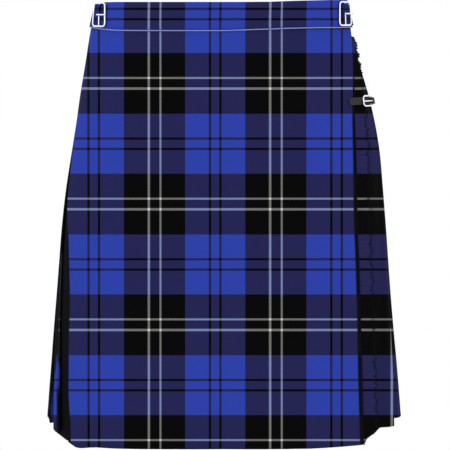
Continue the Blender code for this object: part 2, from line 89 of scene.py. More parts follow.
# %% How far the hem lies above its height: (degrees round the body from the front, rise)
APRON_HEM = (
    (-82, -0.0008), (-77, -0.0012), (-74, -0.0016), (-71.5, -0.0029), (-68.5, -0.0050), (-64, 0.0014),
    (-60, 0.0014), (-58.6, -0.0011), (-57.2, -0.0035), (-55.8, -0.0039), (-54.4, -0.0032), (-53, -0.0021),
    (-50.4, -0.0009), (-45, -0.0012), (-36, -0.0012), (-23, -0.0004), (0, 0.0001), (24, -0.0003),
    (38, -0.0008), (46, 0.0001), (51, 0.0004), (57, 0.0001),
)
BACK_HEM = (
    (-180, 0.0085), (-93, 0.0085), (-87.5, 0.0095), (-85, 0.0114), (-81.4, 0.0130), (-80.6, 0.0122),
    (-80.1, 0.0092), (-79.8, 0.0086), (-79, 0.0078), (-77, 0.0066), (-74, 0.0038), (-71.4, 0.0026),
    (-45, 0.0020), (55, 0.0020), (61.3, 0.0020), (62.7, 0.0032), (65.4, 0.0066), (66.7, 0.0082),
    (67.5, 0.0112), (69, 0.0117), (73, 0.0104), (75.2, 0.0088), (77, 0.0170), (79.7, 0.0158),
    (82.4, 0.0141), (85, 0.0122), (87.6, 0.0105), (93, 0.0090), (180, 0.0085),
)

print("rows of the hem:", len(APRON_HEM), len(BACK_HEM))

# %% [markdown]
# ### Sections and edges
# The body's section is flat at the front and round at the back, and it grows from the waist to the hem. The
# second table says where the folds and the free edge of the over-apron run, and how far they stand off.

# %% Sections of the kilt, and where its folds and edges run
SECTION_COLUMNS = (
    "height", "half_width", "middle", "front", "side", "back", "front_power", "back_power", "layer_step",
)
SECTIONS = (
    (0.018, 0.1482, -0.0008, -0.0972, 0.000, 0.1002, 3.0, 2.3, 0.00240),
    (-0.017, 0.1560, -0.0012, -0.1002, 0.000, 0.1057, 3.0, 2.3, 0.00240),
    (-0.060, 0.1656, 0.0004, -0.1065, 0.001, 0.1190, 3.1, 2.3, 0.00200),
    (-0.100, 0.1750, 0.0025, -0.1104, 0.003, 0.1300, 3.2, 2.3, 0.00190),
    (-0.160, 0.1860, 0.0040, -0.1140, 0.006, 0.1430, 3.3, 2.3, 0.00190),
    (-0.220, 0.1940, 0.0024, -0.1170, 0.010, 0.1530, 3.3, 2.3, 0.00195),
    (-0.360, 0.2065, 0.0014, -0.1240, 0.020, 0.1620, 3.1, 2.3, 0.00240),
    (-0.440, 0.2139, 0.0018, -0.1282, 0.028, 0.1672, 2.95, 2.3, 0.00280),
    (-0.520, 0.2206, 0.0020, -0.1324, 0.035, 0.1724, 2.8, 2.3, 0.00320),
)
EDGE_COLUMNS = (
    "height", "last_fold", "apron_fold", "apron_edge", "first_fold", "fold_lift", "edge_lift", "splay",
)
EDGES = (
    (0.018, -0.243, -0.214, 0.180, 0.244, 0.0, 0.0, 0.10),
    (-0.017, -0.243, -0.213, 0.177, 0.243, 0.0, 0.0, 0.10),
    (-0.060, -0.243, -0.212, 0.167, 0.242, 0.0, 0.0, 0.0),
    (-0.100, -0.243, -0.211, 0.159, 0.241, 0.0, 0.0, 0.0),
    (-0.220, -0.241, -0.206, 0.1575, 0.238, 0.0020, 0.0015, 0.0),
    (-0.360, -0.231, -0.190, 0.1630, 0.235, 0.0070, 0.0045, 0.0),
    (-0.520, -0.221, -0.185, 0.1660, 0.2335, 0.0140, 0.0090, 0.0),
)
# How far from the centre front the over-apron begins to stand off
LIFT_STARTS = 0.080
# The folds of the pleats, the one at the centre back, and how much of a pleat lies under the one before it
FOLDS = 26
CENTRE_BACK_FOLD = 13
PLEAT_OVERLAP = 0.50
# How far the over-apron turns back behind its fold
APRON_RETURN = 0.035
FINEST = 2
LAST_ROW_BUT_ONE = -0.5015
HEIGHTS = np.concatenate((np.linspace(CLOTH_TOP, LAST_ROW_BUT_ONE, 33 * FINEST), [HEM]))
print("rows of the cloth's grid:", len(HEIGHTS))

# %% [markdown]
# ## The ring round the body
# Cloth is flat, and a maker marks it by distances along it. So every piece is laid out on a closed line
# round the body, and a place is a distance along that line, a height, and a distance out from it. The line
# is a superellipse: an ellipse whose power says how square its corners are. It could be a curve drawn by
# hand at every height, but a formula changes smoothly from one height to the next.

# %% The ring
RING_POINTS = 1441


def smooth_row(table, height):
    """The table's row at a height, on a smooth curve through the rows above and below it."""
    rows = np.array(sorted(table))
    heights = rows[:, 0]
    height = float(np.clip(height, heights[0], heights[-1]))
    at = int(np.clip(np.searchsorted(heights, height) - 1, 0, len(rows) - 2))
    slopes = np.gradient(rows, heights, axis=0)
    span = heights[at + 1] - heights[at]
    t = (height - heights[at]) / span
    return (
        (2 * t**3 - 3 * t**2 + 1) * rows[at]
        + (t**3 - 2 * t**2 + t) * span * slopes[at]
        + (3 * t**2 - 2 * t**3) * rows[at + 1]
        + (t**3 - t**2) * span * slopes[at + 1]
    )


def one_long(ways):
    """Directions, each made one long."""
    return ways / np.linalg.norm(ways, axis=-1, keepdims=True)


class Ring:
    """The closed line round the body at one height."""

    def __init__(self, height):
        row = dict(zip(SECTION_COLUMNS, smooth_row(SECTIONS, height)))
        turn = np.linspace(-math.pi / 2, 3 * math.pi / 2, RING_POINTS)
        across, along = np.cos(turn), np.sin(turn)
        power = np.where(along < 0, row["front_power"], row["back_power"])
        depth = np.where(along < 0, row["side"] - row["front"], row["back"] - row["side"])
        x = row["middle"] + row["half_width"] * np.sign(across) * np.abs(across) ** (2 / power)
        y = row["side"] + depth * np.sign(along) * np.abs(along) ** (2 / power)
        self.points = np.column_stack((x, y))
        self.along = np.concatenate(([0.0], np.cumsum(np.hypot(np.diff(x), np.diff(y)))))
        self.length = float(self.along[-1])
        self.layer_step = float(row["layer_step"])
        self.edges = dict(zip(EDGE_COLUMNS, smooth_row(EDGES, height)))

    def at(self, distances):
        """Points at distances along the line."""
        wrapped = np.mod(distances, self.length)
        return np.stack([np.interp(wrapped, self.along, self.points[:, k]) for k in (0, 1)], axis=-1)

    def outward(self, distances, reach=0.004):
        """The way out from the body at distances along the line."""
        run = self.at(distances + reach) - self.at(distances - reach)
        return one_long(np.stack((run[..., 1], -run[..., 0]), axis=-1))

    def folds(self):
        """The distances of the pleats' folds."""
        return np.linspace(self.edges["first_fold"], self.length + self.edges["last_fold"], FOLDS)

    def overlap(self):
        """How far each pleat reaches back under its neighbour."""
        folds = self.folds()
        return PLEAT_OVERLAP * (folds[1] - folds[0])

    def layer(self, number):
        """How far out a layer of cloth lies. The lowest layer is number 0."""
        return HALF_CLOTH + number * self.layer_step


print("ring at the waist:", round(Ring(0.0).length, 3))

# %% Places round the ring
RINGS = {}


def ring(height):
    """The ring at a height, made once and kept."""
    key = round(float(height), 6)
    if key not in RINGS:
        RINGS[key] = Ring(key)
    return RINGS[key]


def raised(flat, height):
    """Points seen from above, all put at one height."""
    return np.concatenate((flat, np.full(flat.shape[:-1] + (1,), float(height))), axis=-1)


def placed(distances, height, outs):
    """Points at distances round the ring, one height, and distances out from the ring."""
    here = ring(height)
    distances = np.asarray(distances, dtype=float)
    outs = np.asarray(outs, dtype=float)
    return raised(here.at(distances) + outs[..., None] * here.outward(distances), height)


def straight(along, height, outs, leaves):
    """Points on a line that leaves the ring at a distance round it, and runs straight on from there."""
    here = ring(height)
    outward = here.outward(np.array(leaves))
    forward = np.array((-outward[1], outward[0]))
    flat = here.at(np.array(leaves)) + np.multiply.outer(outs, outward) + np.multiply.outer(along, forward)
    return raised(flat, height)


print("centre front at the waist:", placed([0.0], 0.0, 0.0).round(4).tolist())

# %% How far the over-apron stands off
def ease(share):
    """A smooth step from 0 to 1."""
    share = np.clip(share, 0.0, 1.0)
    return share * share * (3 - 2 * share)


def below(height, start, growth):
    """A smooth step from 0 at `start` below the waist to 1 at `start + growth` below it."""
    return ease((-start - height) / growth)


def above(height, start, growth):
    """A smooth step from 0 at the height `start` to 1 at `start + growth`."""
    return float(ease((height - start) / growth))


def from_table(table, place):
    """The value at a place, from a table of (place, value) rows."""
    return np.interp(place, *np.transpose(table))


def lift(distances, height):
    """How far the over-apron stands off its own layer. Its middle hangs flat, and its edges stand away."""
    edges = ring(height).edges
    distances = np.asarray(distances, dtype=float)
    right = edges["edge_lift"] * ease((distances - LIFT_STARTS) / (edges["apron_edge"] - LIFT_STARTS))
    left = edges["fold_lift"] * ease((-distances - LIFT_STARTS) / (-edges["apron_fold"] - LIFT_STARTS))
    return np.where(distances > 0, right, left)


print("fold and edge stand off at the hem:", lift([-0.185, 0.166], HEM).round(4).tolist())

# %% [markdown]
# ## The weave
# A kilt is pleated so that its lines stay straight and level to the eye. The tartan could be mapped by
# flattening each piece. Here each point gets its place in the weave by looking at it from where a person
# stands, so the lines run true over the front although the cloth leans and bends. Round the back the lines
# are level, and each pleat takes the next part of the repeat.

# %% Where a point lies in the weave, counted in repeats of the tartan
# Where the person stands, how far the eyes look down, and how far away the front is
SIGHT = np.array((0.0, -2.3, 0.016))
SIGHT_DIP = 0.1210
FRONT_AWAY = 2.2
# The tartan's repeat across and down the cloth, and where one starts
REPEAT = (0.14544, 0.14483)
REPEAT_STARTS = (-0.11804, -0.20643)
# The waistband was cut from another place in the web
BAND_SHIFT = 0.01075
# Behind this depth the weave is level
SIDE_DEPTH = 0.035
# How far along the repeat each pleat starts after the one before it, and where the first folds lie
PLEAT_STEP = 0.02553
FIRST_FOLD_THREAD = 0.2045
PLEATS_THREAD = 0.2245
# The under-apron begins in this black stripe, beside the fringe
FRINGED_STRIPE = 2.02


def distance_away(seen):
    """How far in front of the person each point lies."""
    return seen[..., 1] * math.cos(SIGHT_DIP) - seen[..., 2] * math.sin(SIGHT_DIP)


def level(points):
    """How far down the weave each point lies, in repeats. Behind the sides the weave is level."""
    seen = points - SIGHT
    seen[..., 1] = np.minimum(points[..., 1], SIDE_DEPTH) - SIGHT[1]
    down = -(seen[..., 1] * math.sin(SIGHT_DIP) + seen[..., 2] * math.cos(SIGHT_DIP))
    return (FRONT_AWAY * down / distance_away(seen) - REPEAT_STARTS[1]) / REPEAT[1]


def across(points):
    """How far across the weave each point of the front lies, in repeats."""
    seen = points - SIGHT
    return (FRONT_AWAY * seen[..., 0] / distance_away(seen) - REPEAT_STARTS[0]) / REPEAT[0]


def thread(metres):
    """A distance along the cloth, from the centre front, in repeats."""
    return (np.asarray(metres) - REPEAT_STARTS[0]) / REPEAT[0]


print("repeats over the drop:", round((BAND_TOP - HEM) / REPEAT[1], 2))

# %% [markdown]
# ## Materials
# A material is a tree of nodes, and a tree of sums is hard to read when every node is made by hand. `Wire`
# wraps a socket and adds the Math nodes itself, so that a material can be written like `1 - mask`. `Paint`
# makes any other node from its type, its settings and what goes into its sockets.

# %% Wires
class Wire:
    """A value in a material. It can be added, taken away and multiplied like a number."""

    def __init__(self, paint, socket):
        self.paint = paint
        self.socket = socket

    def maths(self, operation, first, second=None):
        values = {0: first} if second is None else {0: first, 1: second}
        return self.paint.node("ShaderNodeMath", {"operation": operation}, values)

    def __add__(self, other):
        return self.maths("ADD", self, other)

    def __radd__(self, other):
        return self.maths("ADD", other, self)

    def __sub__(self, other):
        return self.maths("SUBTRACT", self, other)

    def __rsub__(self, other):
        return self.maths("SUBTRACT", other, self)

    def __mul__(self, other):
        return self.maths("MULTIPLY", self, other)

    def __rmul__(self, other):
        return self.maths("MULTIPLY", other, self)

    def __mod__(self, other):
        return self.maths("FLOORED_MODULO", self, other)

    def __rmod__(self, other):
        return self.maths("FLOORED_MODULO", other, self)

    def sine(self):
        return self.maths("SINE", self)


print("signs of a wire: + - * %")

# %% Paints
class Paint:
    """A material, with its Principled shader's sockets set by name."""

    def __init__(self, name, **values):
        self.material = bpy.data.materials.new(name)
        self.material.use_nodes = True
        self.tree = self.material.node_tree
        self.shader = self.tree.nodes["Principled BSDF"]
        for socket, value in values.items():
            self.set(socket.replace("_", " "), value)

    def node(self, kind, settings, values, output=0):
        """A node of any type: its settings, its inputs by name or number, and the output that is wanted."""
        made = self.tree.nodes.new(kind)
        for setting, value in settings.items():
            setattr(made, setting, value)
        for socket, value in values.items():
            self.join(made.inputs[socket], value)
        return Wire(self, made.outputs[output])

    def join(self, socket, value):
        if isinstance(value, Wire):
            self.tree.links.new(value.socket, socket)
        else:
            socket.default_value = value

    def set(self, name, value):
        self.join(self.shader.inputs[name], value)

    def mix(self, share, first, second):
        """A blend of two colours."""
        values = {0: share, 6: first, 7: second}
        return self.node("ShaderNodeMix", {"data_type": "RGBA"}, values, output=2)

    def bumps(self, height, distance, strength=1.0):
        values = {"Height": height, "Distance": distance, "Strength": strength}
        self.set("Normal", self.node("ShaderNodeBump", {}, values))


print("materials so far:", len(bpy.data.materials))

# %% [markdown]
# ### Tartan
# The repeat is half blue and half black. A pair of white lines runs down the middle of each black stripe,
# and a pair of black lines down the middle of each blue one. The warp and the weft have the same stripes,
# and where two kinds of yarn cross, the twill shows some of each. An image could hold the checks, but a
# picture blurs from close by. Here the stripes are a short table, two colour ramps read it, and the
# crossing picks the colour.

# %% The stripes of the tartan
BLACK_YARN, BLUE_YARN, WHITE_YARN = (0.0, 0.0, 0.0), (1.0, 0.0, 0.0), (0.0, 1.0, 0.0)
# Where each stripe of the warp and of the weft starts in the repeat, and its yarn
STRIPES = (
    (0.0000, 0.0000, BLACK_YARN),
    (0.1953, 0.1955, WHITE_YARN),
    (0.2121, 0.2145, BLACK_YARN),
    (0.2895, 0.2840, WHITE_YARN),
    (0.3063, 0.3032, BLACK_YARN),
    (0.5020, 0.5020, BLUE_YARN),
    (0.6976, 0.6957, BLACK_YARN),
    (0.7186, 0.7165, BLUE_YARN),
    (0.7835, 0.7829, BLACK_YARN),
    (0.8043, 0.8035, BLUE_YARN),
)
WARP, WEFT = 0, 1
# The colours of the crossings, in the range 0 to 255
BLACK = (17, 17, 18)
BLACK_AND_BLUE = (42, 41, 79)
BLUE = (48, 65, 161)
BLACK_AND_WHITE = (106, 106, 101)
BLUE_AND_WHITE = (113, 127, 174)
WHITE = (203, 206, 208)
# The colour of painted shade: what is left of any colour in the depth of a fold
DEEP_SHADE = (0.0050, 0.0052, 0.0062, 1.0)
print("stripes in a repeat:", len(STRIPES))


# %% How two yarns cross
def screen(colour):
    """A colour in the range 0 to 255, as a share of 1."""
    return tuple(part / 255 for part in colour) + (1.0,)


def ramp(paint, place, stops, interpolation):
    """A value that follows a row of (place, colour) stops."""
    made = paint.node("ShaderNodeValToRGB", {}, {0: place})
    row = made.socket.node.color_ramp
    row.interpolation = interpolation
    for number, (start, colour) in enumerate(stops):
        stop = row.elements[number] if number < 2 else row.elements.new(start)
        stop.position = start
        stop.color = colour
    return made


def stripes(paint, place, way):
    """The kind of yarn at a place in the repeat."""
    return ramp(paint, place % 1.0, [(row[way], row[2] + (1.0,)) for row in STRIPES], "CONSTANT")


def crossing(paint, warp, weft, warp_share):
    """The colour where a warp yarn and a weft yarn cross. A yarn's kind is (blue, white, 0)."""
    kinds = {0: paint.mix(warp_share, weft, warp)}
    blue = paint.node("ShaderNodeSeparateXYZ", {}, kinds, output=0)
    white = paint.node("ShaderNodeSeparateXYZ", {}, kinds, output=1)
    dark = ((0.0, screen(BLACK)), (1.0, screen(BLUE)), (0.5, screen(BLACK_AND_BLUE)))
    lined = paint.mix(blue * 2, screen(BLACK_AND_WHITE), screen(BLUE_AND_WHITE))
    plain = paint.mix(white * 2, ramp(paint, blue, dark, "LINEAR"), lined)
    return paint.mix(white * 2 - 1, plain, screen(WHITE))


print("colours at a crossing: black and blue", BLACK_AND_BLUE, "blue and white", BLUE_AND_WHITE)

# %% The tartan
TWILL_PITCH = 0.0022
SCREEN_GAMMA = 2.2
# Fine fuzz drawn out along the yarns: its scale across and down, and how uneven it makes the light
FUZZ_STRETCH = (70.0, 9.0)
FUZZ_LIGHT = 0.10


def tartan(name, shade=1.0, grain=0.09):
    """Wool in the tartan. `shade` is how light it is: painted shade below 1 and painted light above it.
    `grain` is how much the twill's ribs show.
    """
    paint = Paint(name, Roughness=0.92, Specular_IOR_Level=0.015)
    place = {0: paint.node("ShaderNodeUVMap", {"uv_map": "weave"}, {})}
    over = paint.node("ShaderNodeSeparateXYZ", {}, place, output=0)
    down = paint.node("ShaderNodeSeparateXYZ", {}, place, output=1)
    twill = ((over + down) * (2 * math.pi * REPEAT[0] / TWILL_PITCH)).sine()
    blend = crossing(paint, stripes(paint, over, WARP), stripes(paint, down, WEFT), 0.5 + grain * twill)
    linear = paint.node("ShaderNodeGamma", {}, {0: blend, 1: SCREEN_GAMMA})
    # Painted shade: a per-point attribute blends the colour towards DEEP_SHADE in folds, recesses, beside
    # edges and at the fringe's roots and tips
    painted_shade = paint.node("ShaderNodeAttribute", {"attribute_name": "painted_shade"}, {}, output=2)
    spot = paint.node("ShaderNodeCombineXYZ", {}, {0: over * FUZZ_STRETCH[0], 1: down * FUZZ_STRETCH[1]})
    fuzz = paint.node("ShaderNodeTexNoise", {}, {"Vector": spot, "Scale": 3.0, "Detail": 2.0})
    light = shade + FUZZ_LIGHT * (fuzz - 0.5)
    grey = paint.node("ShaderNodeCombineColor", {}, {0: light, 1: light, 2: light})
    settings = {"data_type": "RGBA", "blend_type": "MULTIPLY"}
    shaded = paint.node("ShaderNodeMix", settings, {0: 1.0, 6: linear, 7: grey}, output=2)
    paint.set("Base Color", paint.mix(painted_shade, shaded, DEEP_SHADE))
    paint.bumps(twill + 1.5 * fuzz, 0.00012, 0.6)
    return paint.material


TARTAN = tartan("tartan_wool")
# A darker copy for the waist straps and loops: painted shade under the buckles
TARTAN_SHADED = tartan("tartan_wool_shaded_under_the_buckles", shade=0.55)
# A lighter copy for the fringe: painted light that makes up for the shade between its yarns
FRINGE_WOOL = tartan("fringed_wool", shade=1.17, grain=0.02)
print("tartans:", TARTAN.name, TARTAN_SHADED.name, FRINGE_WOOL.name)

# %% [markdown]
# ### Leather, nickel, yarn and thread
# Strap leather is nearly black, with a fine grain that only catches the light. Nickel plate is a metal with
# a faint smear on it. The edging and the stitches are plain yarn, with fibres that make them a little
# uneven. Noise gives all three in a line each, so none of them needs a picture.

# %% Leather, nickel, yarn and thread
def leather(name):
    paint = Paint(name, Roughness=0.50, Specular_IOR_Level=0.22)
    paint.set("Base Color", (0.017, 0.017, 0.019, 1.0))
    grain = paint.node("ShaderNodeTexNoise", {}, {"Scale": 900.0, "Detail": 4.0})
    paint.bumps(grain, 0.0002, 0.5)
    return paint.material


def nickel(name):
    paint = Paint(name, Metallic=1.0)
    paint.set("Base Color", (0.93, 0.94, 0.96, 1.0))
    smear = paint.node("ShaderNodeTexNoise", {}, {"Scale": 260.0, "Detail": 3.0})
    paint.set("Roughness", 0.12 + 0.10 * smear)
    return paint.material


def yarn(name, colour):
    paint = Paint(name, Roughness=0.85, Specular_IOR_Level=0.1)
    fibre = paint.node("ShaderNodeTexNoise", {}, {"Scale": 1500.0, "Detail": 2.0})
    hollow = tuple(0.75 * part for part in colour[:3]) + (1.0,)
    paint.set("Base Color", paint.mix(fibre, hollow, colour))
    paint.bumps(fibre, 0.0002, 0.5)
    return paint.material


LEATHER = leather("black_leather")
NICKEL = nickel("bright_nickel")
EDGING = yarn("pale_edging", (0.24, 0.28, 0.60, 1.0))
THREAD = yarn("dark_thread", (0.03, 0.03, 0.05, 1.0))
print("materials:", len(bpy.data.materials))

# %% [markdown]
# ## Making cloth
# Kilt cloth is a heavy twill that keeps its creases. A simulation could drape it, but the pleats are
# pressed and tacked, so their lines are known. Each piece is a grid of points with its place in the weave
# at each one, and Solidify gives it a wall on both sides.

# %% Cloth
def link(piece, node, slot_name, *nodes):
    """Puts a finished piece into the scene in place of its solid."""
    bpy.context.scene.collection.objects.link(piece)
    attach(piece, "root")
    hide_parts(node, *nodes)
    return piece


def smooth(mesh, sharp_from=60):
    """Shades a mesh smoothly, apart from edges sharper than a number of degrees."""
    mesh.shade_smooth()
    mesh.set_sharp_from_angle(angle=math.radians(sharp_from))


def grid_mesh(name, points, weave, painted_shade=None):
    """A mesh through a grid of points, with each point's place in the weave and its painted shade."""
    rows, columns = points.shape[:2]
    mesh = bpy.data.meshes.new(name)
    first = np.arange(rows - 1)[:, None] * columns + np.arange(columns - 1)[None, :]
    faces = np.stack((first, first + columns, first + columns + 1, first + 1), axis=-1).reshape(-1, 4)
    mesh.from_pydata(points.reshape(-1, 3).tolist(), [], faces.tolist())
    layer = mesh.uv_layers.new(name="weave")
    corners = np.zeros(len(mesh.loops), dtype=np.int32)
    mesh.loops.foreach_get("vertex_index", corners)
    layer.data.foreach_set("uv", weave.reshape(-1, 2)[corners].ravel().astype(np.float32))
    dark = mesh.attributes.new("painted_shade", "FLOAT", "POINT")
    values = np.zeros(rows * columns) if painted_shade is None else np.broadcast_to(painted_shade, (rows, columns)).ravel()
    dark.data.foreach_set("value", values.astype(np.float32))
    smooth(mesh)
    return mesh


def cloth(name, points, weave, finish, wall=CLOTH, painted_shade=None, node=None, slot_name="tartan"):
    """A piece of cloth with a wall on both sides of its grid, in place of its solid."""
    mesh = grid_mesh(name, points, weave, painted_shade)
    mesh.materials.append(finish)
    piece = bpy.data.objects.new(name, mesh)
    solid = piece.modifiers.new("wall", "SOLIDIFY")
    solid.thickness = wall
    solid.offset = 0.0
    solid.use_even_offset = False
    return link(piece, node or name, slot_name)


print("cloth wall:", CLOTH)

# %% Hanging cloth
def hem_heights(points, hem):
    """The height at which each column is cut off, from the points of the lowest row."""
    turns = np.degrees(np.arctan2(points[:, 0], -points[:, 1]))
    return HEM + from_table(hem, turns)


def hanging(line_at, hem):
    """The grid of a cloth that hangs from the waist to a hem.

    `line_at` gives the points, the weave across and the painted shade of the line at a height."""
    lines = [line_at(height) for height in HEIGHTS]
    cut = [[part[k] for part in line_at(height)] for k, height in enumerate(hem_heights(lines[-1][0], hem))]
    lines[-1] = [np.array([spot[part] for spot in cut]) for part in range(3)]
    points, over, painted_shade = (np.array([line[part] for line in lines]) for part in range(3))
    return points, np.stack((over, level(points)), axis=-1), painted_shade


print("lines in a hanging cloth:", len(HEIGHTS))

# %% [markdown]
# ## The over-apron
# The over-apron is the flat front of the kilt. On one side it turns under in a deep fold, and behind that
# fold a strip of it runs on in the dark as far as the last pleat. On the other side is its free edge. A
# single grid follows the cloth from the strip, round the fold and over the front, so the fold is a real
# one. Its columns are closer together beside the fold and the edge, where the shade ends sharply.

# %% Over-apron, with its fold and the strip behind the fold
FRONT_COLUMNS = 70 * FINEST
RECESS_COLUMNS = 24
MARGIN_COLUMNS = 12
FOLD_POINTS = 5
# How wide the finer columns' stretch is, how far the fold is rounded, and how far from it the strip begins
FINER_STRETCH = 0.0075
FOLD_ROUNDING = 0.0009
BESIDE_FOLD = 0.0010
# The strip behind the fold starts in a black stripe, and takes only half a metre of weave for a metre
RECESS_THREAD = -0.300
RECESS_RATE = 0.5
# How wide the shaded margin of the over-apron is beside its fold and beside its free edge, at each height,
# and over how much it fades out
FOLD_MARGIN = (
    (-0.519, 0.0037), (-0.494, 0.0037), (-0.482, 0.0019), (-0.473, 0.0015), (-0.455, 0.0), (-0.400, 0.0),
    (-0.388, 0.0005), (-0.358, 0.0027), (-0.327, 0.0044), (-0.273, 0.0056), (-0.2645, 0.0045),
    (-0.2515, 0.0021), (-0.231, 0.0),
)
EDGE_MARGIN = (
    (-0.519, 0.0047), (-0.430, 0.0047), (-0.360, 0.0032), (-0.280, 0.0017), (-0.180, 0.0023),
    (-0.030, 0.0008),
)
FOLD_FADE = 0.0008
EDGE_FADE = 0.0012


def over_apron_line(height):
    """The over-apron at a height: the strip behind the fold, the fold, and the front."""
    here = ring(height)
    fold, free = here.edges["apron_fold"], here.edges["apron_edge"]
    last = here.edges["last_fold"] - here.overlap()
    recess = np.linspace(last, fold + APRON_RETURN, RECESS_COLUMNS)
    back = np.linspace(fold + APRON_RETURN, fold + BESIDE_FOLD, MARGIN_COLUMNS)
    front = np.concatenate((
        np.linspace(fold, fold + FINER_STRETCH, MARGIN_COLUMNS)[:-1],
        np.linspace(fold + FINER_STRETCH, free - FINER_STRETCH, FRONT_COLUMNS),
        np.linspace(free - FINER_STRETCH, free, MARGIN_COLUMNS)[1:],
    ))
    low, high = here.layer(1) + lift(fold, height) / 2, here.layer(2) + lift(fold, height)
    turn = np.linspace(-math.pi / 2, math.pi / 2, FOLD_POINTS + 2)[1:-1]
    nose_out = (low + high) / 2 + (high - low) / 2 * np.sin(turn)
    nose = fold - FOLD_ROUNDING * np.cos(turn)
    distances = np.concatenate((recess, back, nose, front))
    outs = np.concatenate((
        np.full(len(recess), here.layer(0)),
        here.layer(1) + lift(back, height) / 2,
        nose_out,
        here.layer(2) + lift(front, height),
    ))
    points = placed(distances, height, outs)
    over = across(points)
    hidden = len(recess) + len(back)
    over[:hidden] = thread(RECESS_THREAD + RECESS_RATE * (distances[:hidden] - fold))
    # Painted shade: a margin beside the fold and beside the free edge, and the whole strip hidden behind the
    # fold
    by_fold = ease((fold + from_table(FOLD_MARGIN, height) - distances) / FOLD_FADE + 0.5)
    by_edge = ease((distances - free + from_table(EDGE_MARGIN, height)) / EDGE_FADE + 0.5)
    painted_shade = np.maximum(by_fold, by_edge)
    painted_shade[:hidden] = 1.0
    return points, over, painted_shade


points, weave, painted_shade = hanging(over_apron_line, APRON_HEM)
over_apron = cloth("over_apron_cloth", points, weave, TARTAN, painted_shade=painted_shade, node="over_apron")
print("over-apron points:", len(over_apron.data.vertices))

# %% [markdown]
# ## The under-apron
# The under-apron lies below the over-apron and comes out beside its free edge. There it runs on as far as
# the first pleat's fold. A pleat's line is needed again for the pleated back, so it is a helper: the cloth
# rises out of the layer below, runs to its fold, turns, and goes back under it.

# %% Under-apron, as far as the first pleat's fold
# The number of points on a pleat's hidden root, its face, its fold's nose and its return
ROOT, FACE, NOSE, RETURN = 3, 9, 3, 4
# How sharp a pleat's fold is, how far short of it the cloth begins to turn, and how far on the face has risen
PLEAT_ROUNDING = 0.0006
TURN_BEGINS = 0.0004
FACE_RISES = 0.25
# The shade of cloth that lies inside a fold, and of the cloth beside the over-apron's edge
IN_THE_FOLD = 0.9
SHADE_BESIDE_EDGE = (0.004, 0.006)
UNDER_COLUMNS = 40 * FINEST
UNDER_END_SHARE = 8 / 39
FIRST_PLEAT_RISES = 0.012


def pleat_profile(here, fold, start):
    """The visible face of a pleat from `start`, where it comes out, to its fold, and its return."""
    tuck = fold - here.overlap()
    face = np.linspace(start, fold - TURN_BEGINS, FACE)
    rise = ease((face - start) / (tuck - start + FACE_RISES * (fold - tuck)))
    face_out = here.layer(0) + rise * (here.layer(2) - here.layer(0))
    turn = np.linspace(math.pi / 2, -math.pi / 2, NOSE + 2)[1:-1]
    middle, half = here.layer(1.5), here.layer_step / 2
    nose, nose_out = fold + PLEAT_ROUNDING * (np.cos(turn) - 0.5), middle + half * np.sin(turn)
    back = np.linspace(fold - TURN_BEGINS, tuck, RETURN)
    distances = np.concatenate((face, nose, back))
    outs = np.concatenate((face_out, nose_out, np.full(RETURN, here.layer(1))))
    return distances, outs


def under_apron_end(height):
    """Where the under-apron ends, below the over-apron."""
    edges = ring(height).edges
    return edges["apron_fold"] + (edges["apron_edge"] - edges["apron_fold"]) * UNDER_END_SHARE


def under_apron_line(height):
    """The under-apron at a height, as far as the first pleat's fold and its return."""
    here = ring(height)
    fold = here.edges["first_fold"]
    stop = fold - here.overlap() - FIRST_PLEAT_RISES
    flat = np.linspace(under_apron_end(height), stop, UNDER_COLUMNS)[:-1]
    face, face_out = pleat_profile(here, fold, stop)
    distances = np.concatenate((flat, face))
    outs = np.concatenate((np.full(len(flat), here.layer(0)), face_out))
    points = placed(distances, height, outs)
    over = np.maximum(across(points), FRINGED_STRIPE)
    turned = slice(-NOSE - RETURN, None)
    over[turned] = thread(FIRST_FOLD_THREAD + fold - distances[turned])
    # Painted shade on the return inside the first fold, and beside the over-apron's edge
    painted_shade = np.zeros(len(distances))
    painted_shade[-RETURN:] = IN_THE_FOLD
    reach, fade = SHADE_BESIDE_EDGE
    painted_shade[: len(flat)] = IN_THE_FOLD * ease((here.edges["apron_edge"] + reach - flat) / fade)
    return points, over, painted_shade


points, weave, painted_shade = hanging(under_apron_line, BACK_HEM)
under_apron = cloth("under_apron_cloth", points, weave, TARTAN, painted_shade=painted_shade, node="under_apron")
print("under-apron points:", len(under_apron.data.vertices))

# %% [markdown]
# ## The pleats
# Knife pleats all face one way. Each pleat comes out from below its neighbour's fold, runs on to its own
# fold, and turns back under it, so three layers of cloth lie on each other. Many kilts in pictures are a
# ribbed tube, but only real folds catch the light as pleats do, and they can be seen from the hem. The last
# pleats lie in painted shade behind the over-apron's fold, and a thin wedge of unshaded cloth comes out
# between them towards the hem.

# %% Light and shade on the pleats
LAST_PLEAT, LAST_BUT_ONE = FOLDS - 2, FOLDS - 3
# Where the painted shade behind the aprons begins below the waist, and over how much it grows
DARK_BEGINS = (0.130, 0.060)
# The unshaded wedge on the last pleat: the depth where its edge meets the fold, how fast the edge leaves it,
# and its fade
LIGHT_MEETS_FOLD = 0.410
LIGHT_LEAVES_FOLD = 0.29
LIGHT_BACK = 0.003
LIGHT_FADE = 0.0015
# How far from their folds the painted shade ends on the last pleat but one and begins on the second, and its
# fade
DARK_REACHES = 0.020
SECOND_PLEAT_DARK = 0.010
DARK_FADE = 0.006
# The painted shade where a pleat comes out from under its neighbour, and how far it reaches
ROOT_SHADE = (0.55, 0.004)
RETURN_SHADE = 0.6
# How far past its neighbour's fold each pleat's face begins
FACE_BEGINS = 0.0015
# A white line shows faintly on the last pleat's fold, between two heights
LAST_LINE = (-0.425, -0.290)
LAST_LINE_SHADE = 0.88
LAST_LINE_PLACE = 1.0 + STRIPES[1][WARP] + 0.008
LAST_PLEAT_SHIFT = 0.009
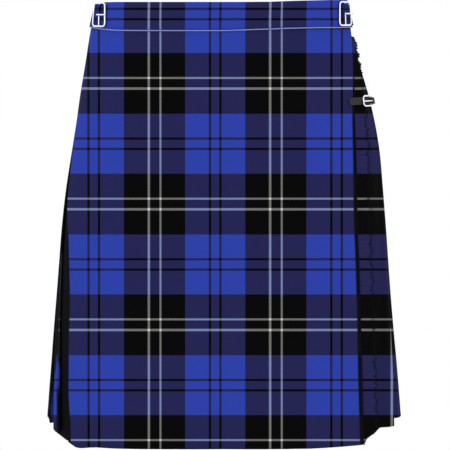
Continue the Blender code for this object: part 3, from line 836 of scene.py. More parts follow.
# The first pleat's fold stays in the black stripe
FIRST_PLEAT_ENDS = 2.0 + STRIPES[5][WARP] - 0.006
# How far the back of the last fold but one closes in towards the body at the hem
LAST_FOLD_CLOSES = np.array((0.0006, 0.0013, 0.0014, 0.0014, 0.0014, 0.0014))
# Changes near the hem: where each begins below the waist, and over how much it grows. On the last fold but
# one, the nose and then its return come out of the shade, and the back closes in. On the last fold, the nose
# comes out of the shade and goes back into it, and the shade reaches the face's end.
NOSE_CLEARS = (0.470, 0.030)
RETURN_CLEARS = (0.450, 0.020)
BACK_CLOSES = (0.485, 0.020)
LAST_NOSE_CLEARS = (0.425, 0.010)
LAST_NOSE_DARKENS = (0.448, 0.022)
LAST_FACE_DARKENS = (0.490, 0.020)


def last_pleats_shade(number, from_fold, height):
    """Painted shade on the last two pleats, behind the over-apron's fold, and on the second pleat. The last
    one comes out of it.
    """
    dark = below(height, *DARK_BEGINS)
    if number == LAST_PLEAT:
        light = LIGHT_LEAVES_FOLD * (-height - LIGHT_MEETS_FOLD) - LIGHT_BACK
        return dark * ease((from_fold - light) / LIGHT_FADE)
    if number == LAST_BUT_ONE:
        return dark * ease((DARK_REACHES - from_fold) / DARK_FADE)
    return dark * ease((from_fold - SECOND_PLEAT_DARK) / DARK_FADE) if number == 1 else 0.0


def last_folds_shade(number, height, face_shade, turned_in_shade):
    """Near the hem the gap in the painted shade between the last two folds moves back, round the fold behind
    it.
    """
    if number == LAST_BUT_ONE:
        turned_in_shade[1] *= 1.0 - below(height, *NOSE_CLEARS)
        turned_in_shade[2:4] *= 1.0 - below(height, *RETURN_CLEARS)
    if number == LAST_PLEAT:
        low, dark = below(height, *LAST_NOSE_CLEARS), below(height, *LAST_NOSE_DARKENS)
        turned_in_shade[:4] = (1.0 - low) * turned_in_shade[:4] + low * dark
        face_shade[-1] = max(face_shade[-1], dark)
        face_shade[-2] = max(face_shade[-2], RETURN_SHADE * below(height, *LAST_FACE_DARKENS))


print("folds:", FOLDS, "and the last pleat but one is number", LAST_BUT_ONE)

# %% Knife pleats
def pleats(name, first, last):
    """A stretch of pleats, from one number to another, as one hanging cloth."""

    def line_at(height):
        here = ring(height)
        folds = here.folds()
        distances, outs, over, painted_shade = [], [], [], []
        for number in range(first, last):
            fold = folds[number + 1]
            begins = folds[number] + FACE_BEGINS
            root = np.linspace(folds[number] - here.overlap(), begins, ROOT + 1)[:-1]
            face, face_out = pleat_profile(here, fold, begins)
            if number == LAST_BUT_ONE:
                face_out[FACE + 1 :] -= LAST_FOLD_CLOSES * below(height, *BACK_CLOSES)
            own = PLEATS_THREAD + (number + 1) * PLEAT_STEP - LAST_PLEAT_SHIFT * (number == LAST_PLEAT)
            distances += [root, face]
            outs += [np.full(ROOT, here.layer(0)), face_out]
            turned = np.concatenate((face[: FACE + 2] - fold, fold - face[FACE + 2 :]))
            over += [thread(own - fold + root), thread(own + turned)]
            if number == 0:
                over[-1] = np.minimum(over[-1], FIRST_PLEAT_ENDS)
            # Painted shade where the face comes out from under its neighbour, over the last pleats, and on
            # the nose and return
            shade = ROOT_SHADE[0] * ease(1 - (face[:FACE] - face[0]) / ROOT_SHADE[1])
            shade = np.maximum(shade, last_pleats_shade(number, fold - face[:FACE], height))
            turned_in_shade = np.full(NOSE + RETURN, max(RETURN_SHADE, shade[-1]))
            if number == LAST_PLEAT and LAST_LINE[0] < height < LAST_LINE[1]:
                over[-1][FACE : FACE + NOSE] = LAST_LINE_PLACE
                turned_in_shade[:NOSE] = LAST_LINE_SHADE
            last_folds_shade(number, height, shade, turned_in_shade)
            painted_shade += [np.full(ROOT, IN_THE_FOLD), shade, turned_in_shade]
        distances = np.concatenate(distances)
        points = placed(distances, height, np.concatenate(outs))
        return points, np.concatenate(over), np.concatenate(painted_shade)

    points, weave, painted_shade = hanging(line_at, BACK_HEM)
    return cloth(name + "_cloth", points, weave, TARTAN, painted_shade=painted_shade, node=name)


pleats_right = pleats("pleats_right", 0, CENTRE_BACK_FOLD)
pleats_left = pleats("pleats_left", CENTRE_BACK_FOLD, FOLDS - 1)
print("pleats:", len(pleats_right.data.vertices), len(pleats_left.data.vertices))

# %% [markdown]
# ## The waistband
# A waistband is a strip of the same cloth, folded over the top edge and sewn down on both sides. It comes
# in three stretches: over the over-apron, over the pleats, and over the under-apron, which lies inside. It
# could be a plain band with a thick wall, but then the top would have sharp corners and no fold. So one
# profile, up the outer leaf, over the top and down the inner leaf, is placed at many distances round the
# ring.

# %% The waistband's sizes and profile
# Where the back stretch meets the other two, and how far the band's leaves lie from the ring
BAND_JOIN = -0.2410
SIDE_BAND_JOIN = 0.2155
BAND_OUT = 0.0069
BAND_IN = -0.0010
UNDER_BAND_OUT = 0.0023
APRON_BAND_IN = 0.0039
# Where the back stretch has grown to the outer leaf's place, and the apron's inner leaf to its own
OUTER_STEP = 0.0065
INNER_STEP = 0.009
BAND_OVERHANG = 0.0025
# The band's fold over the top: where it begins, and how high it stands
BAND_TURN = 0.0136
BAND_TURN_HEIGHT = 0.0018
BAND_INNER_END = -0.0130
# The front's weave is seen straight on as far as these two corners
BAND_CORNERS = (0.185, -0.205)
# How far the band's lower and upper edges rise, at each distance round it. It sits higher on the wearer's
# left
BAND_RISES = (
    (-0.300, 0.0, 0.0), (-0.205, 0.0034, 0.0), (-0.175, 0.0032, 0.0), (-0.158, 0.0022, 0.0),
    (-0.145, 0.0011, 0.0), (-0.125, 0.0, 0.0003), (0.004, 0.0, 0.0003), (0.0188, 0.0004, 0.0003),
    (0.038, 0.0013, 0.0004), (0.057, 0.0018, 0.0005), (0.076, 0.0026, 0.0012), (0.0955, 0.0030, 0.0018),
    (0.115, 0.0033, 0.0022), (0.137, 0.0032, 0.0028), (0.200, 0.0034, 0.0030), (0.300, 0.0, 0.0),
)


def band_rise(distances, height):
    """How far the band sits above its level at a distance round it and a height on it."""
    length = ring(0.0).length
    round_front = np.mod(np.asarray(distances) + length / 2, length) - length / 2
    places, low, high = np.transpose(BAND_RISES)
    up = float(np.clip((height - BAND_BOTTOM) / (BAND_TOP - BAND_BOTTOM), 0.0, 1.0))
    return (1 - up) * np.interp(round_front, places, low) + up * np.interp(round_front, places, high)


def band_profile():
    """(height, share of the outer leaf), up the outer leaf, over the top and down the inner one."""
    outer = [(h, 1.0) for h in np.linspace(BAND_BOTTOM, BAND_TURN, 9)]
    turn = np.linspace(0.0, math.pi, 9)[1:-1]
    over = [(BAND_TURN + BAND_TURN_HEIGHT * math.sin(t), 0.5 + 0.5 * math.cos(t)) for t in turn]
    return outer + over + [(h, 0.0) for h in np.linspace(BAND_TURN, BAND_INNER_END, 7)]


def band_across(points, distances):
    """The band's weave follows the front's as far as the corners, and then runs on round the body."""
    over = across(points)
    for corner in BAND_CORNERS:
        beyond = (distances - corner) * math.copysign(1.0, corner) > 0
        if beyond.any():
            anchor = placed(np.array([corner]), 0.0, np.array([BAND_OUT]))
            over = np.where(beyond, across(anchor)[0] + (distances - corner) / REPEAT[0], over)
    return over


print("places on the band's profile:", len(band_profile()))

# %% The three stretches of the waistband
UNDER_BAND_COLUMNS, BACK_BAND_COLUMNS, APRON_BAND_COLUMNS = 110, 170, 160


def band(name, columns, outer, inner):
    """A stretch of the waistband, between an outer and an inner leaf."""
    points, overs, profile = [], [], band_profile()
    for height, share in profile:
        distances = columns(height)
        outs = share * outer(distances, height) + (1 - share) * inner(distances, height)
        line = placed(distances, height, outs)
        line[:, 2] += band_rise(distances, height)
        points.append(line)
        overs.append(band_across(placed(distances, 0.0, outs), distances))
    points = np.array(points)
    down = level(points) + BAND_SHIFT / REPEAT[1]
    return cloth(name + "_cloth", points, np.stack((np.array(overs), down), axis=-1), TARTAN, node=name)


def steady(value):
    """A leaf that lies at the same distance from the ring everywhere."""
    return lambda distances, height: np.full(len(distances), value)


def back_outer(distances, _):
    """The back stretch's outer leaf, which comes out from the under-apron's."""
    return UNDER_BAND_OUT + (BAND_OUT - UNDER_BAND_OUT) * ease((distances - SIDE_BAND_JOIN) / OUTER_STEP)


def apron_inner(distances, height):
    """The front stretch's inner leaf, which steps out over the cloth below it."""
    start = ring(height).edges["apron_fold"] + APRON_RETURN
    return BAND_IN + (APRON_BAND_IN - BAND_IN) * ease((distances - start) / INNER_STEP)


def under_columns(height):
    return np.linspace(under_apron_end(height) - BAND_OVERHANG, SIDE_BAND_JOIN - CLEAR, UNDER_BAND_COLUMNS)


def back_columns(height):
    return np.linspace(SIDE_BAND_JOIN, ring(height).length + BAND_JOIN - CLEAR, BACK_BAND_COLUMNS)


def apron_columns(height):
    return np.linspace(BAND_JOIN, ring(height).edges["apron_edge"], APRON_BAND_COLUMNS)


band_under = band("waistband_under", under_columns, steady(UNDER_BAND_OUT), steady(BAND_IN))
band_back = band("waistband_back", back_columns, back_outer, steady(BAND_IN))
band_apron = band("waistband_apron", apron_columns, steady(BAND_OUT), apron_inner)
print("waistband points:", [len(piece.data.vertices) for piece in (band_under, band_back, band_apron)])

# %% [markdown]
# ### The edging
# A narrow pale edging runs along the waistband's lower edge. It could be a line in the band's material, but
# it is a round cord that stands out a little, so it is modelled: rings of points along a line, joined into
# a thread.

# %% Round threads
def round_corners(shape, spot, side, rise, radius, sides, place=lambda *corner: corner):
    """A ring of corners round a spot on a rod, each put where `place` says."""
    turns = [2 * math.pi * k / sides for k in range(sides)]
    spots = [spot + radius * (math.cos(t) * side + math.sin(t) * rise) for t in turns]
    return [shape.verts.new(place(*corner)) for corner in spots]


def join_rings(shape, rings):
    """Faces between each ring of corners and the next."""
    faces = []
    for one, two in zip(rings, rings[1:]):
        for k in range(len(one)):
            after = (k + 1) % len(one)
            faces.append(shape.faces.new((one[k], two[k], two[after], one[after])))
    return faces


def finished(shape, name, finish, sharp_from=None):
    """The mesh that was being built, as an object with its finish."""
    bmesh.ops.recalc_face_normals(shape, faces=shape.faces)
    mesh = bpy.data.meshes.new(name)
    shape.to_mesh(mesh)
    shape.free()
    if sharp_from:
        smooth(mesh, sharp_from)
    mesh.materials.append(finish)
    return bpy.data.objects.new(name, mesh)


def threads(name, lines, radius, finish, node, slot_name="tartan", sides=6):
    """Round threads through lines of points, as one piece."""
    shape = bmesh.new()
    for line in lines:
        line = np.asarray(line, dtype=float)
        run = one_long(np.gradient(line, axis=0))
        up = np.array((0.0, 0.0, 1.0)) if abs(run[0][2]) < 0.8 else np.array((0.0, 1.0, 0.0))
        side = one_long(np.cross(run, up))
        rise = np.cross(side, run)
        rings = [round_corners(shape, spot, a, b, radius, sides) for spot, a, b in zip(line, side, rise)]
        join_rings(shape, rings)
        shape.faces.new(rings[0])
        shape.faces.new(rings[-1][::-1])
    return link(finished(shape, name, finish, sharp_from=60), node, slot_name)


# %% The edging along the waistband's lower edge
EDGING_RADIUS = 0.00075
EDGING_BELOW = 0.0006
# How far out the edging's middle lies, as a share of half the cloth
EDGING_SHARE = 0.7


def edging(name, columns, outer, node):
    """The edging below one stretch of the waistband."""
    height = BAND_BOTTOM - EDGING_BELOW
    distances = columns(height)
    line = placed(distances, height, outer(distances, height) + HALF_CLOTH * EDGING_SHARE)
    line[:, 2] += band_rise(distances, height)
    return threads(name, [line], EDGING_RADIUS, EDGING, node)


edging("waistband_edging_front", apron_columns, steady(BAND_OUT), "waistband_apron")
edging("waistband_edging_back", back_columns, back_outer, "waistband_back")
print("edging done")

# %% [markdown]
# ## The fringe
# The free edge of a kilt is frayed. The yarns that run down the cloth are drawn out of the last stretch,
# and the crosswise ones stay, stand out and bunch into tufts. Blender's hair could grow them, but it
# doesn't export as a mesh. So each yarn is a thin flat rod through a few places, with its own place in the
# weave at every corner, and all of them are one mesh. Painted shade darkens their roots beside the
# over-apron's edge, and their tips, for the thin shadow along the fringe's end.

# %% The fringe's sizes
FRINGE_TOP = -0.0235
FRINGE_BOTTOM = -0.5190
FRINGE_REACH = 0.0252
# The strands are worn short at both ends: the share of their length that they keep, by height
FRINGE_WORN = (
    (-0.5193, 0.16), (-0.5160, 0.26), (-0.5127, 0.385), (-0.5106, 0.51), (-0.5077, 0.81), (-0.5025, 1.0),
    (-0.0330, 1.0), (-0.0285, 0.75), (-0.0245, 0.25),
)
# How far the painted shade beside the over-apron's edge reaches over the strands, by height
FRINGE_SHADE = (
    (-0.519, 0.0033), (-0.430, 0.0033), (-0.300, 0.0053), (-0.180, 0.0049), (-0.080, 0.0049),
    (-0.030, 0.0075),
)
SHADE_BLUR = 0.0012
STRANDS = 124
YARNS_A_STRAND = 4
YARNS = YARNS_A_STRAND * STRANDS
# How far inside the over-apron's edge a yarn starts
YARN_ROOT = 0.0075
# A yarn's height as a share of the pitch, and its thickness, both at the root, and how much of them goes
YARN_HEIGHT = (0.95, 0.25)
YARN_THICK = (0.00048, 0.35)
# How long a yarn's tip of painted shade is, and how much longer near the waist, where more of it is seen end
# on
YARN_TIP = 0.0016
LONG_TIP = 0.0050
TIP_FADE = 0.0010
TIP_SHADE = 0.82
# The topmost yarns stand in scallops and have longer tips: where both begin, and over how much they grow
SCALLOPS_GROW = (-0.075, 0.020)
TIPS_GROW = (-0.080, 0.040)
# How uneven the tufts are, and how much the topmost yarns stand in scallops
TUFTING = 0.05
SCALLOP = 0.0030
# How uneven a yarn's length is, how far its tip leans up or down by its tuft and by itself, how far it
# waves out, and where it lies in the weave. None of them is drawn at random: sines of the yarn's number
# give the same fringe every time.
YARN_UNEVEN = (0.94, 0.06)
YARN_LEAN = (0.0006, 0.0005)
YARN_LOFT = 0.0003
YARN_WEAVE = (0.10, 0.03)
YARN_BELOW = 0.0005


def tuft_reach(number, height):
    """How far a strand stands out. The strands bunch into uneven tufts, and the lowest are worn short."""
    tuft = math.sin(number * 1.37) + 0.6 * math.sin(number * 0.61 + 1.0) + 0.4 * math.sin(number * 2.9 + 0.5)
    worn = float(from_table(FRINGE_WORN, height))
    scallop = SCALLOP * math.sin(number * 2.2 + 0.6) * above(height, *SCALLOPS_GROW)
    return FRINGE_REACH * (1.0 + TUFTING * tuft) * worn + scallop * worn


def fringe_out(height):
    """How far from the ring the middle of the fringe lies."""
    here = ring(height)
    return here.layer(1) - CLEAR + here.edges["edge_lift"]


def yarn_places(reach, shaded, tip):
    """How far out along a yarn its corners lie: closer together where its shade changes."""
    dim_tip = reach - tip
    near = (-YARN_ROOT, 0.0, shaded - SHADE_BLUR, shaded + SHADE_BLUR)
    return near + (0.6 * reach, dim_tip - TIP_FADE, dim_tip, reach)


print("yarns in the fringe:", YARNS, "and the shortest at the hem keeps", FRINGE_WORN[0][1])


# %% Fringe
def fringe_yarn(shape, weave, dark, number):
    """Adds one yarn to the mesh being built, with its place in the weave and its painted shade."""
    pitch = (FRINGE_TOP - FRINGE_BOTTOM) / YARNS
    height = FRINGE_TOP - (number + 0.5) * pitch
    strand = number / YARNS_A_STRAND
    reach = tuft_reach(strand, height) * (YARN_UNEVEN[0] + YARN_UNEVEN[1] * math.sin(number * 2.4))
    lean = YARN_LEAN[0] * math.sin(strand * 0.9) + YARN_LEAN[1] * math.sin(number * 1.9)
    shaded = float(from_table(FRINGE_SHADE, height))
    loft = YARN_LOFT * math.sin(number * 2.1)
    tip = YARN_TIP + LONG_TIP * above(height, *TIPS_GROW)
    edges = ring(height).edges
    rings = []
    for far in yarn_places(reach, shaded, tip):
        share = (far + YARN_ROOT) / (reach + YARN_ROOT)
        z = max(height + lean * share * share, FRINGE_BOTTOM - YARN_BELOW)
        wave = loft * math.sin(share * 5.0 + number) + edges["splay"] * max(far, 0.0)
        half = pitch * (YARN_HEIGHT[0] - YARN_HEIGHT[1] * share)
        thick = YARN_THICK[0] * (1.0 - YARN_THICK[1] * share)
        # Painted shade at the root, beside the over-apron's edge, and at the tip, for the shadow along the
        # fringe's end
        at_root = ease((shaded + SHADE_BLUR - far) / (2 * SHADE_BLUR))
        at_tip = TIP_SHADE * ease((far - reach + tip + TIP_FADE) / TIP_FADE)
        corners = []
        for up, out in ((half, -thick), (half, thick), (-half, thick), (-half, -thick)):
            outs = np.array([fringe_out(z) + out + wave])
            corners.append(shape.verts.new(straight(np.array([far]), z + up, outs, edges["apron_edge"])[0]))
            corners[-1][dark] = float(max(at_root, at_tip))
        rings.append(corners)
    faces = [shape.faces.new(rings[0]), shape.faces.new(rings[-1][::-1])] + join_rings(shape, rings)
    over = YARN_WEAVE[0] + YARN_WEAVE[1] * math.sin(number * 1.3)
    for face in faces:
        for corner in face.loops:
            corner[weave].uv = (over, level(np.array(corner.vert.co))[()])


def fringe_cloth():
    """All the yarns of the fringe, in one mesh."""
    shape = bmesh.new()
    weave = shape.loops.layers.uv.new("weave")
    # The painted shade of each corner
    dark = shape.verts.layers.float.new("painted_shade")
    for number in range(YARNS):
        fringe_yarn(shape, weave, dark, number)
    return link(finished(shape, "fringe_yarns", FRINGE_WOOL), "fringe", "fringe_wool")


fringe = fringe_cloth()
print("fringe:", len(fringe.data.polygons))

# %% [markdown]
# ## Waist straps
# Two straps of the kilt's own cloth lie on the waistband. A loop of cloth goes round each buckle's middle
# bar and holds it on the strap. They could be bent boxes, but then the tartan would have to be fitted to
# them. As grids of cloth they take their place in the weave from the band below. A strap follows the band
# round the body, while a loop follows its buckle, which is flat, so the same helper takes either way of
# placing points.

# %% Waist straps
STRAP_WIDTH = 0.0250
STRAP_WALL = 0.0009
STRAP_LENGTH = 0.150
STRAP_LIFT = 0.0001
STRAP_TIP = 0.0005
WAIST_BUCKLE_AT = {"left": -0.1521, "right": 0.1549}
# A buckle is flat, so it leaves the ring at a place nearer to the front and stands a little off it
BUCKLE_LEAVES = {"left": -0.1461, "right": 0.1482}
BUCKLE_MIDDLE = {"left": 0.0010, "right": 0.0022}
BUCKLE_LEAN = {"left": 0.09, "right": -0.07}
WAIST_FRAME = (0.0266, 0.0300)
WAIST_BAR = 0.0018
WAIST_RIM = 0.0022
WAIST_CORNER = 0.0042
FRAME_WALL = 0.0020
STRAP_ROWS, STRAP_COLUMNS = 7, 70
LOOP_POINTS = 7
# Below 1 this makes the loop's bend over the bar squarer than a half circle
LOOP_BEND = 0.6
LOOP_WALL = 0.0008
LOOP_FLANGES = (0.0040, 0.0030)
LOOP_ABOVE = 0.0070
LOOP_WIDTH = 0.0106
# How far out the straps lie, and how far out a buckle's back lies on its strap
STRAP_OUT = BAND_OUT + HALF_CLOTH + STRAP_LIFT + STRAP_WALL / 2
SEAT = STRAP_OUT + STRAP_WALL / 2 + CLEAR


def strap(name, distances, outs, middle, width, wall, place=placed):
    """A strip of cloth through (distance, out) places, put round the ring or on another surface."""
    heights = np.linspace(middle + width / 2, middle - width / 2, STRAP_ROWS)
    distances, outs = np.asarray(distances, dtype=float), np.asarray(outs, dtype=float)
    points = np.array([place(distances, height, outs) for height in heights])
    over = np.broadcast_to(band_across(placed(distances, 0.0, outs), distances), (STRAP_ROWS, len(distances)))
    weave = np.stack((over, level(points) + BAND_SHIFT / REPEAT[1]), axis=-1)
    # The strips take the darker copy of the tartan: painted shade
    return cloth(name + "_strip", points, weave, TARTAN_SHADED, wall=wall, node=name)


def on_flat_buckle(side):
    """The way of placing points that lie on a buckle's flat plane."""
    leaves = BUCKLE_LEAVES[side]
    return lambda distances, height, outs: straight(distances - leaves, height, outs, leaves)


for side, at in WAIST_BUCKLE_AT.items():
    backwards = 1 if side == "right" else -1
    tip = at - backwards * (WAIST_FRAME[0] / 2 - STRAP_TIP)
    run = np.linspace(*sorted((tip, at + backwards * STRAP_LENGTH)), STRAP_COLUMNS)
    strap(f"waist_strap_{side}", run, np.full(STRAP_COLUMNS, STRAP_OUT), 0.0, STRAP_WIDTH, STRAP_WALL)
    beside = WAIST_BAR / 2 + CLEAR + LOOP_WALL / 2
    low, high = SEAT + LOOP_WALL / 2, SEAT + FRAME_WALL + CLEAR + LOOP_WALL / 2
    turn = np.linspace(0, math.pi, LOOP_POINTS)[1:-1]
    over_bar = [(at - beside * math.cos(t), low + (high - low) * math.sin(t) ** LOOP_BEND) for t in turn]
    route = [(at - beside - LOOP_FLANGES[0], low), (at - beside, low)] + over_bar
    route += [(at + beside, low), (at + beside + LOOP_FLANGES[1], low)]
    loop_middle = BUCKLE_MIDDLE[side] + LOOP_ABOVE
    strap(f"waist_loop_{side}", *zip(*route), loop_middle, LOOP_WIDTH, LOOP_WALL, place=on_flat_buckle(side))
print("waist straps and loops done")

# %% [markdown]
# ## Buckles
# A waist buckle is a bent wire frame with a middle bar and a tongue. It could be cut from a plate and
# bevelled, but a wire has a round section all the way, so it is made as it is bent: a round section carried
# along the frame's outline. The same two helpers make the hip buckle later.

# %% Rods of wire
# How far a rod's rounded end stands out, as a share of its radius, and the places of its rings
ROD_END = 0.6
ROD_END_SHARES = (0.0, 0.35, 0.8)
# How high a tongue lies over its frame, and how flat the frame's wire is
TONGUE_CLEAR = 0.0008
TONGUE_RISE = FRAME_WALL / 2 + CLEAR + TONGUE_CLEAR
WIRE_FLAT = 0.9


def rounded(width, height, radius, steps=6):
    """The outline of a rounded rectangle, anticlockwise."""
    outline = []
    for right, up, start in ((1, 1, 0), (-1, 1, 90), (-1, -1, 180), (1, -1, 270)):
        for k in range(steps + 1):
            turn = math.radians(start + 90 * k / steps)
            x = right * (width / 2 - radius) + radius * math.cos(turn)
            y = up * (height / 2 - radius) + radius * math.sin(turn)
            outline.append((x, y))
    return outline


def closed_rod(outline, radius, place, shape, sides=10, flat=1.0):
    """Adds a closed round rod along a flat outline to a mesh being built. `flat` squashes it outwards."""
    loop = np.array(outline)
    run = one_long(np.roll(loop, -1, axis=0) - np.roll(loop, 1, axis=0))
    rise = np.array((0.0, 0.0, flat))
    rings = []
    for (x, y), (dx, dy) in zip(loop, run):
        side = np.array((dy, -dx, 0.0))
        rings.append(round_corners(shape, np.array((x, y, 0.0)), side, rise, radius, sides, place))
    join_rings(shape, rings + rings[:1])


def straight_rod(points, radius, place, shape, sides=10):
    """Adds a straight or bent open rod with rounded ends. Each point is (x, y, out) on the flat buckle."""
    points = np.array(points, dtype=float)
    run = one_long(np.gradient(points, axis=0))

    def rounded_end(spot, way, share):
        return spot + way * radius * ROD_END * (1 - share), radius * math.sqrt(share + 0.02)

    stops = []
    for share in ROD_END_SHARES:
        spot, size = rounded_end(points[0], -run[0], share)
        stops.append((spot, run[0], size))
    stops += [(spot, way, radius) for spot, way in zip(points, run)]
    for share in ROD_END_SHARES[::-1]:
        spot, size = rounded_end(points[-1], run[-1], share)
        stops.append((spot, run[-1], size))
    rings = []
    for spot, way, size in stops:
        side = one_long(np.cross(way, (0.0, 0.0, 1.0)))
        rings.append(round_corners(shape, spot, side, np.cross(side, way), size, sides, place))
    join_rings(shape, rings)
    shape.faces.new(rings[0])
    shape.faces.new(rings[-1][::-1])


def metal(name, build, node):
    """A piece of nickel, made by a function that adds its rods to a mesh."""
    shape = bmesh.new()
    build(shape)
    return link(finished(shape, name, NICKEL, sharp_from=50), node, "nickel")


print("points on a rounded frame:", len(rounded(*WAIST_FRAME, WAIST_CORNER)))

# %% Waist buckles
WAIST_TONGUE = 0.0009
# The tongue's places along the buckle, and how far each is bent up
TONGUE_BENDS = (
    (-0.0022, 0.0), (0.0, 0.0002), (0.004, 0.0003), (0.008, 0.0001), (WAIST_FRAME[0] / 2 + 0.0002, 0.0),
)


def waist_buckle(side):
    """One waist buckle: its frame and bar, and its tongue."""
    at = WAIST_BUCKLE_AT[side]
    width, height = WAIST_FRAME
    middle = SEAT + FRAME_WALL / 2
    place = on_flat_buckle(side)

    def on_buckle(x, y, out):
        along = np.array([at + x - BUCKLE_LEAN[side] * y])
        return place(along, BUCKLE_MIDDLE[side] + y, np.array([middle + out]))[0]

    def frame_and_bar(shape):
        outline = rounded(width - WAIST_RIM, height - WAIST_RIM, WAIST_CORNER)
        closed_rod(outline, WAIST_RIM / 2, on_buckle, shape, flat=WIRE_FLAT)
        reach = height / 2 - WAIST_RIM
        straight_rod([(0, y, 0) for y in np.linspace(-reach, reach, 7)], WAIST_BAR / 2, on_buckle, shape)

    def tongue(shape):
        straight_rod([(x, 0, TONGUE_RISE + up) for x, up in TONGUE_BENDS], WAIST_TONGUE, on_buckle, shape)

    metal(f"waist_buckle_frame_{side}", frame_and_bar, f"waist_buckle_{side}")
    metal(f"waist_buckle_tongue_{side}", tongue, f"waist_tongue_{side}")


for side in WAIST_BUCKLE_AT:
    waist_buckle(side)
print("waist buckles done")

# %% [markdown]
# ## The hip strap
# A narrow leather strap is sewn below the over-apron's edge and reaches back to a small buckle, which a
# folded tab holds to the under-apron. The strap is stiff, so it leaves the cloth in a straight line. A
# curve with a flat bevel could make it, but a grid of points keeps it the same kind of thing as the cloth,
# with the same wall. It is bent through a few places, and cutting its corners three times rounds the bends.

# %% Strips of leather
HIP_HEIGHT = -0.1030
HIP_STRAP_WIDTH = 0.0087
HIP_STRAP_WALL = 0.0014
HIP_STRAP_SEWN = 0.0070
HIP_FRAME = (0.0178, 0.0137)
HIP_RIM = 0.0021
HIP_CORNER = 0.0030
HIP_TONGUE = 0.0008
HIP_BUCKLE_FROM_EDGE = 0.0229
HIP_TAB_WIDTH = 0.0076
HIP_TAB_ROOT = 0.0490
HIP_TAB_SEWN = 0.0085
BENDS_ROUNDED = 3
# Where on the ring a strip's edges are copied from its middle line
HIP_ON_RING = 0.2


def spot_at(place, distance, height, out):
    """A single point, by any of the ways of placing points."""
    return place(np.array([distance]), height, np.array([out]))[0]


def strap_line(along, height, outs):
    """Points on the stiff hip strap, which leaves the ring in a straight line at the over-apron's edge."""
    return straight(along, height, outs, ring(HIP_HEIGHT).edges["apron_edge"])


def hip_strip(name, route, width, wall):
    """A leather strip through (place, distance, out) spots, with soft bends between them."""
    spots = np.array([spot_at(place, along, HIP_HEIGHT, out) for place, along, out in route])
    bends = spots.copy()
    for _ in range(BENDS_ROUNDED):
        near = [bends[0]]
        for one, two in zip(bends, bends[1:]):
            near += [0.75 * one + 0.25 * two, 0.25 * one + 0.75 * two]
        bends = np.array(near + [bends[-1]])
    rises = np.linspace(width / 2, -width / 2, STRAP_ROWS)
    edges = [spot_at(placed, HIP_ON_RING, HIP_HEIGHT + rise, 0.0) for rise in rises]
    points = np.array([bends + (spot - spot_at(placed, HIP_ON_RING, HIP_HEIGHT, 0.0)) for spot in edges])
    weave = np.zeros(points.shape[:2] + (2,))
    return cloth(name + "_strip", points, weave, LEATHER, wall=wall, node=name, slot_name="leather")


print("the hip strap leaves the ring at", round(ring(HIP_HEIGHT).edges["apron_edge"], 4))

# %% The hip strap and the tab
here = ring(HIP_HEIGHT)
apron_edge = here.edges["apron_edge"]
lie = here.layer(2) + HALF_CLOTH + CLEAR + HIP_STRAP_WALL / 2
seat = lie + HIP_STRAP_WALL / 2 + CLEAR
bar = HIP_BUCKLE_FROM_EDGE + HIP_FRAME[0] / 2 - HIP_RIM / 2
beside = HIP_RIM / 2 + CLEAR + LOOP_WALL / 2
under, over = seat - CLEAR - LOOP_WALL / 2, seat + FRAME_WALL + CLEAR + LOOP_WALL / 2
on_cloth = here.layer(0) + HALF_CLOTH + CLEAR + LOOP_WALL / 2
root = apron_edge + HIP_TAB_ROOT
tab_route = [
    (placed, root + HIP_TAB_SEWN, on_cloth),
    (placed, root, on_cloth),
    (strap_line, bar - beside, under),
    (strap_line, bar - beside, over),
    (strap_line, bar + beside, over),
]
hip_strip("hip_tab", tab_route, HIP_TAB_WIDTH, LOOP_WALL)
strap_end = bar - beside - LOOP_WALL / 2 - CLEAR
sewn = apron_edge - HIP_STRAP_SEWN
strap_route = [
    (placed, sewn, lie),
    (placed, sewn + HIP_STRAP_SEWN / 2, lie),
    (strap_line, 0.0, lie),
    (strap_line, strap_end, lie),
]
hip_strip("hip_strap", strap_route, HIP_STRAP_WIDTH, HIP_STRAP_WALL)


print("hip strap and tab done")

# %% The hip buckle
def on_strap(x, y, out):
    """A place on the hip buckle, which lies flat on the stiff strap."""
    return spot_at(strap_line, HIP_BUCKLE_FROM_EDGE + x, HIP_HEIGHT + y, seat + FRAME_WALL / 2 + out)


def hip_frame(shape):
    outline = rounded(HIP_FRAME[0] - HIP_RIM, HIP_FRAME[1] - HIP_RIM, HIP_CORNER)
    closed_rod(outline, HIP_RIM / 2, on_strap, shape, flat=WIRE_FLAT)


def hip_tongue(shape):
    end = strap_end - HIP_BUCKLE_FROM_EDGE
    route = [(x, 0, TONGUE_RISE) for x in np.linspace(-HIP_FRAME[0] / 2, end, 5)]
    straight_rod(route, HIP_TONGUE, on_strap, shape)


metal("hip_buckle_frame", hip_frame, "hip_buckle")
metal("hip_buckle_tongue", hip_tongue, "hip_tongue")
print("hip buckle done")

# %% [markdown]
# ### Stitches
# The hip strap is sewn on with two rows of dark thread. Stitches could be a bump in the leather, but they
# lie on it, so each is a short thread that dips into the leather at both ends.

# %% Stitches on the hip strap
STITCHES_IN_ROW = 4
STITCH_RADIUS = 0.00022
STITCH_ARCH = 0.00012
# The three points of a stitch, and the shares of its length where it starts and how far it runs
STITCH_POINTS = (0, 0.5, 1)
STITCH_RUN = (0.2, 0.6)
ROW_FROM_MIDDLE = 0.0034
# Where a row of stitches begins on the sewn end, how much it leaves free, and how far out it lies
ROW_STARTS = 0.0008
ROW_LEAVES = 0.0014
ROW_OUT = 0.0007


def on_sewn_end(share, rise, out):
    """A place on a row of stitches: a share of the row, a height from its middle, and how far out."""
    distance = sewn + ROW_STARTS + share * (HIP_STRAP_SEWN - ROW_LEAVES)
    return spot_at(placed, distance, HIP_HEIGHT + rise, lie + ROW_OUT + out)


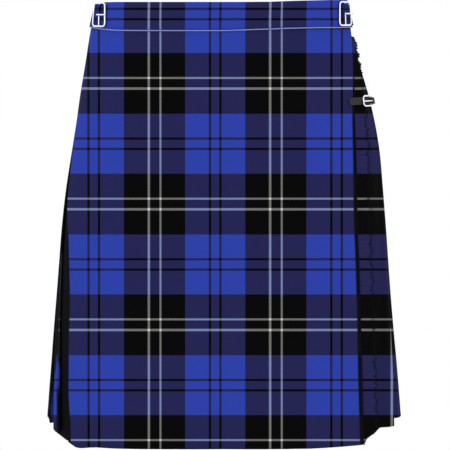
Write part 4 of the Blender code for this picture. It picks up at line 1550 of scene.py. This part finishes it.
def stitches(name, rise):
    """A row of short stitches at a height from the strap's middle."""
    lines = []
    for number in range(STITCHES_IN_ROW):
        shares = [(number + STITCH_RUN[0] + STITCH_RUN[1] * t) / STITCHES_IN_ROW for t in STITCH_POINTS]
        arches = [STITCH_ARCH * math.sin(math.pi * t) for t in STITCH_POINTS]
        lines.append([on_sewn_end(share, rise, arch) for share, arch in zip(shares, arches)])
    return threads(name, lines, STITCH_RADIUS, THREAD, "hip_strap", slot_name="leather", sides=5)


for number, rise in enumerate((ROW_FROM_MIDDLE, -ROW_FROM_MIDDLE)):
    stitches(f"hip_strap_stitches_{number}", rise)
print("stitches done")

# %% [markdown]
# ## The cut of each cloth
# Cloth is bought and cut flat, so the size of the flat cut of the aprons, the pleats, the waistband and the
# waist straps is printed, in metres, as far as it shows. The sizes could be written down by hand, but a
# change to the shape would make them wrong.
# A cut has the same height all along, so its length is worked out from the area of the finished grid.

# %% Sheets
CUT_HEIGHT = 0.529
BAND_CUT_HEIGHT = 0.062


def surface_area(piece):
    """Area of one side of a cloth's grid."""
    return sum(face.area for face in piece.data.polygons)


def declare(piece, width):
    """Prints what a cloth was cut to, with its length worked out from its area."""
    area = surface_area(piece)
    print(f"{piece.name}: {width:.3f} x {area / width:.3f} m")


for piece in (over_apron, under_apron, pleats_right, pleats_left):
    declare(piece, CUT_HEIGHT)
for piece in (band_apron, band_back, band_under):
    declare(piece, BAND_CUT_HEIGHT)
for piece in list(bpy.data.objects):
    if piece.name.startswith("waist_strap_") and piece.name.endswith("_strip"):
        declare(piece, STRAP_WIDTH)

# %% [markdown]
# ## The place, the light and the camera
# A catalogue shows a kilt before even white, with almost no shadow. The world's own light is white from every
# side, one soft lamp gives the metal a gleam, and the floor shines white itself, so that it can't turn grey.

# %% Floor, world and lamps
FLOOR_HEIGHT = -0.97
FLOOR_SIDES = (-14, 14)
FLOOR_ENDS = (-8, 20)
LOOKED_AT = Vector((0, 0, -0.25))
corners = [(FLOOR_SIDES[a], FLOOR_ENDS[b], FLOOR_HEIGHT) for a, b in ((0, 0), (1, 0), (1, 1), (0, 1))]
floor_mesh = bpy.data.meshes.new("studio_floor")
floor_mesh.from_pydata(corners, [], [(0, 1, 2, 3)])
floor = bpy.data.objects.new("studio_floor", floor_mesh)
white = Paint("studio_white", Roughness=1.0, Specular_IOR_Level=0.0)
white.set("Base Color", (0.0, 0.0, 0.0, 1.0))
white.set("Emission Color", (1.0, 1.0, 1.0, 1.0))
white.set("Emission Strength", 1.0)
floor_mesh.materials.append(white.material)
bpy.context.scene.collection.objects.link(floor)

world = bpy.data.worlds.new("studio")
bpy.context.scene.world = world
world.use_nodes = True
world.node_tree.nodes["Background"].inputs["Color"].default_value = (1.0, 1.0, 1.0, 1.0)
world.node_tree.nodes["Background"].inputs["Strength"].default_value = 1.0


def lamp(name, spot, size, power):
    """A square lamp turned to the middle of the kilt."""
    data = bpy.data.lights.new(name, "AREA")
    data.size = size
    data.energy = power
    made = bpy.data.objects.new(name, data)
    made.location = spot
    made.rotation_mode = "QUATERNION"
    made.rotation_quaternion = (Vector(spot) - LOOKED_AT).to_track_quat("Z", "Y")
    bpy.context.scene.collection.objects.link(made)


lamp("front_lamp", spot=(-1.2, -2.6, 1.1), size=1.6, power=9.0)
scene = bpy.context.scene
scene.view_settings.view_transform = "Standard"
scene.view_settings.look = "None"
print("lamps:", len(bpy.data.lights))

# %% [markdown]
# ### The camera
# It stands where the person stood for whom the weave runs straight, a little to one side, and looks down by
# the same angle. A long lens keeps the kilt's outline free of strong perspective.

# %% Camera
SENSOR = 36.0
LENS = 146.64
ASIDE = 0.0031
camera_data = bpy.data.cameras.new("camera")
camera_data.sensor_width = SENSOR
camera_data.lens = LENS
camera = bpy.data.objects.new("camera", camera_data)
camera.location = (ASIDE, SIGHT[1], SIGHT[2])
camera.rotation_euler = (math.pi / 2 - SIGHT_DIP, 0.0, 0.0)
scene.collection.objects.link(camera)
scene.camera = camera
print("camera:", tuple(round(part, 4) for part in camera.location))
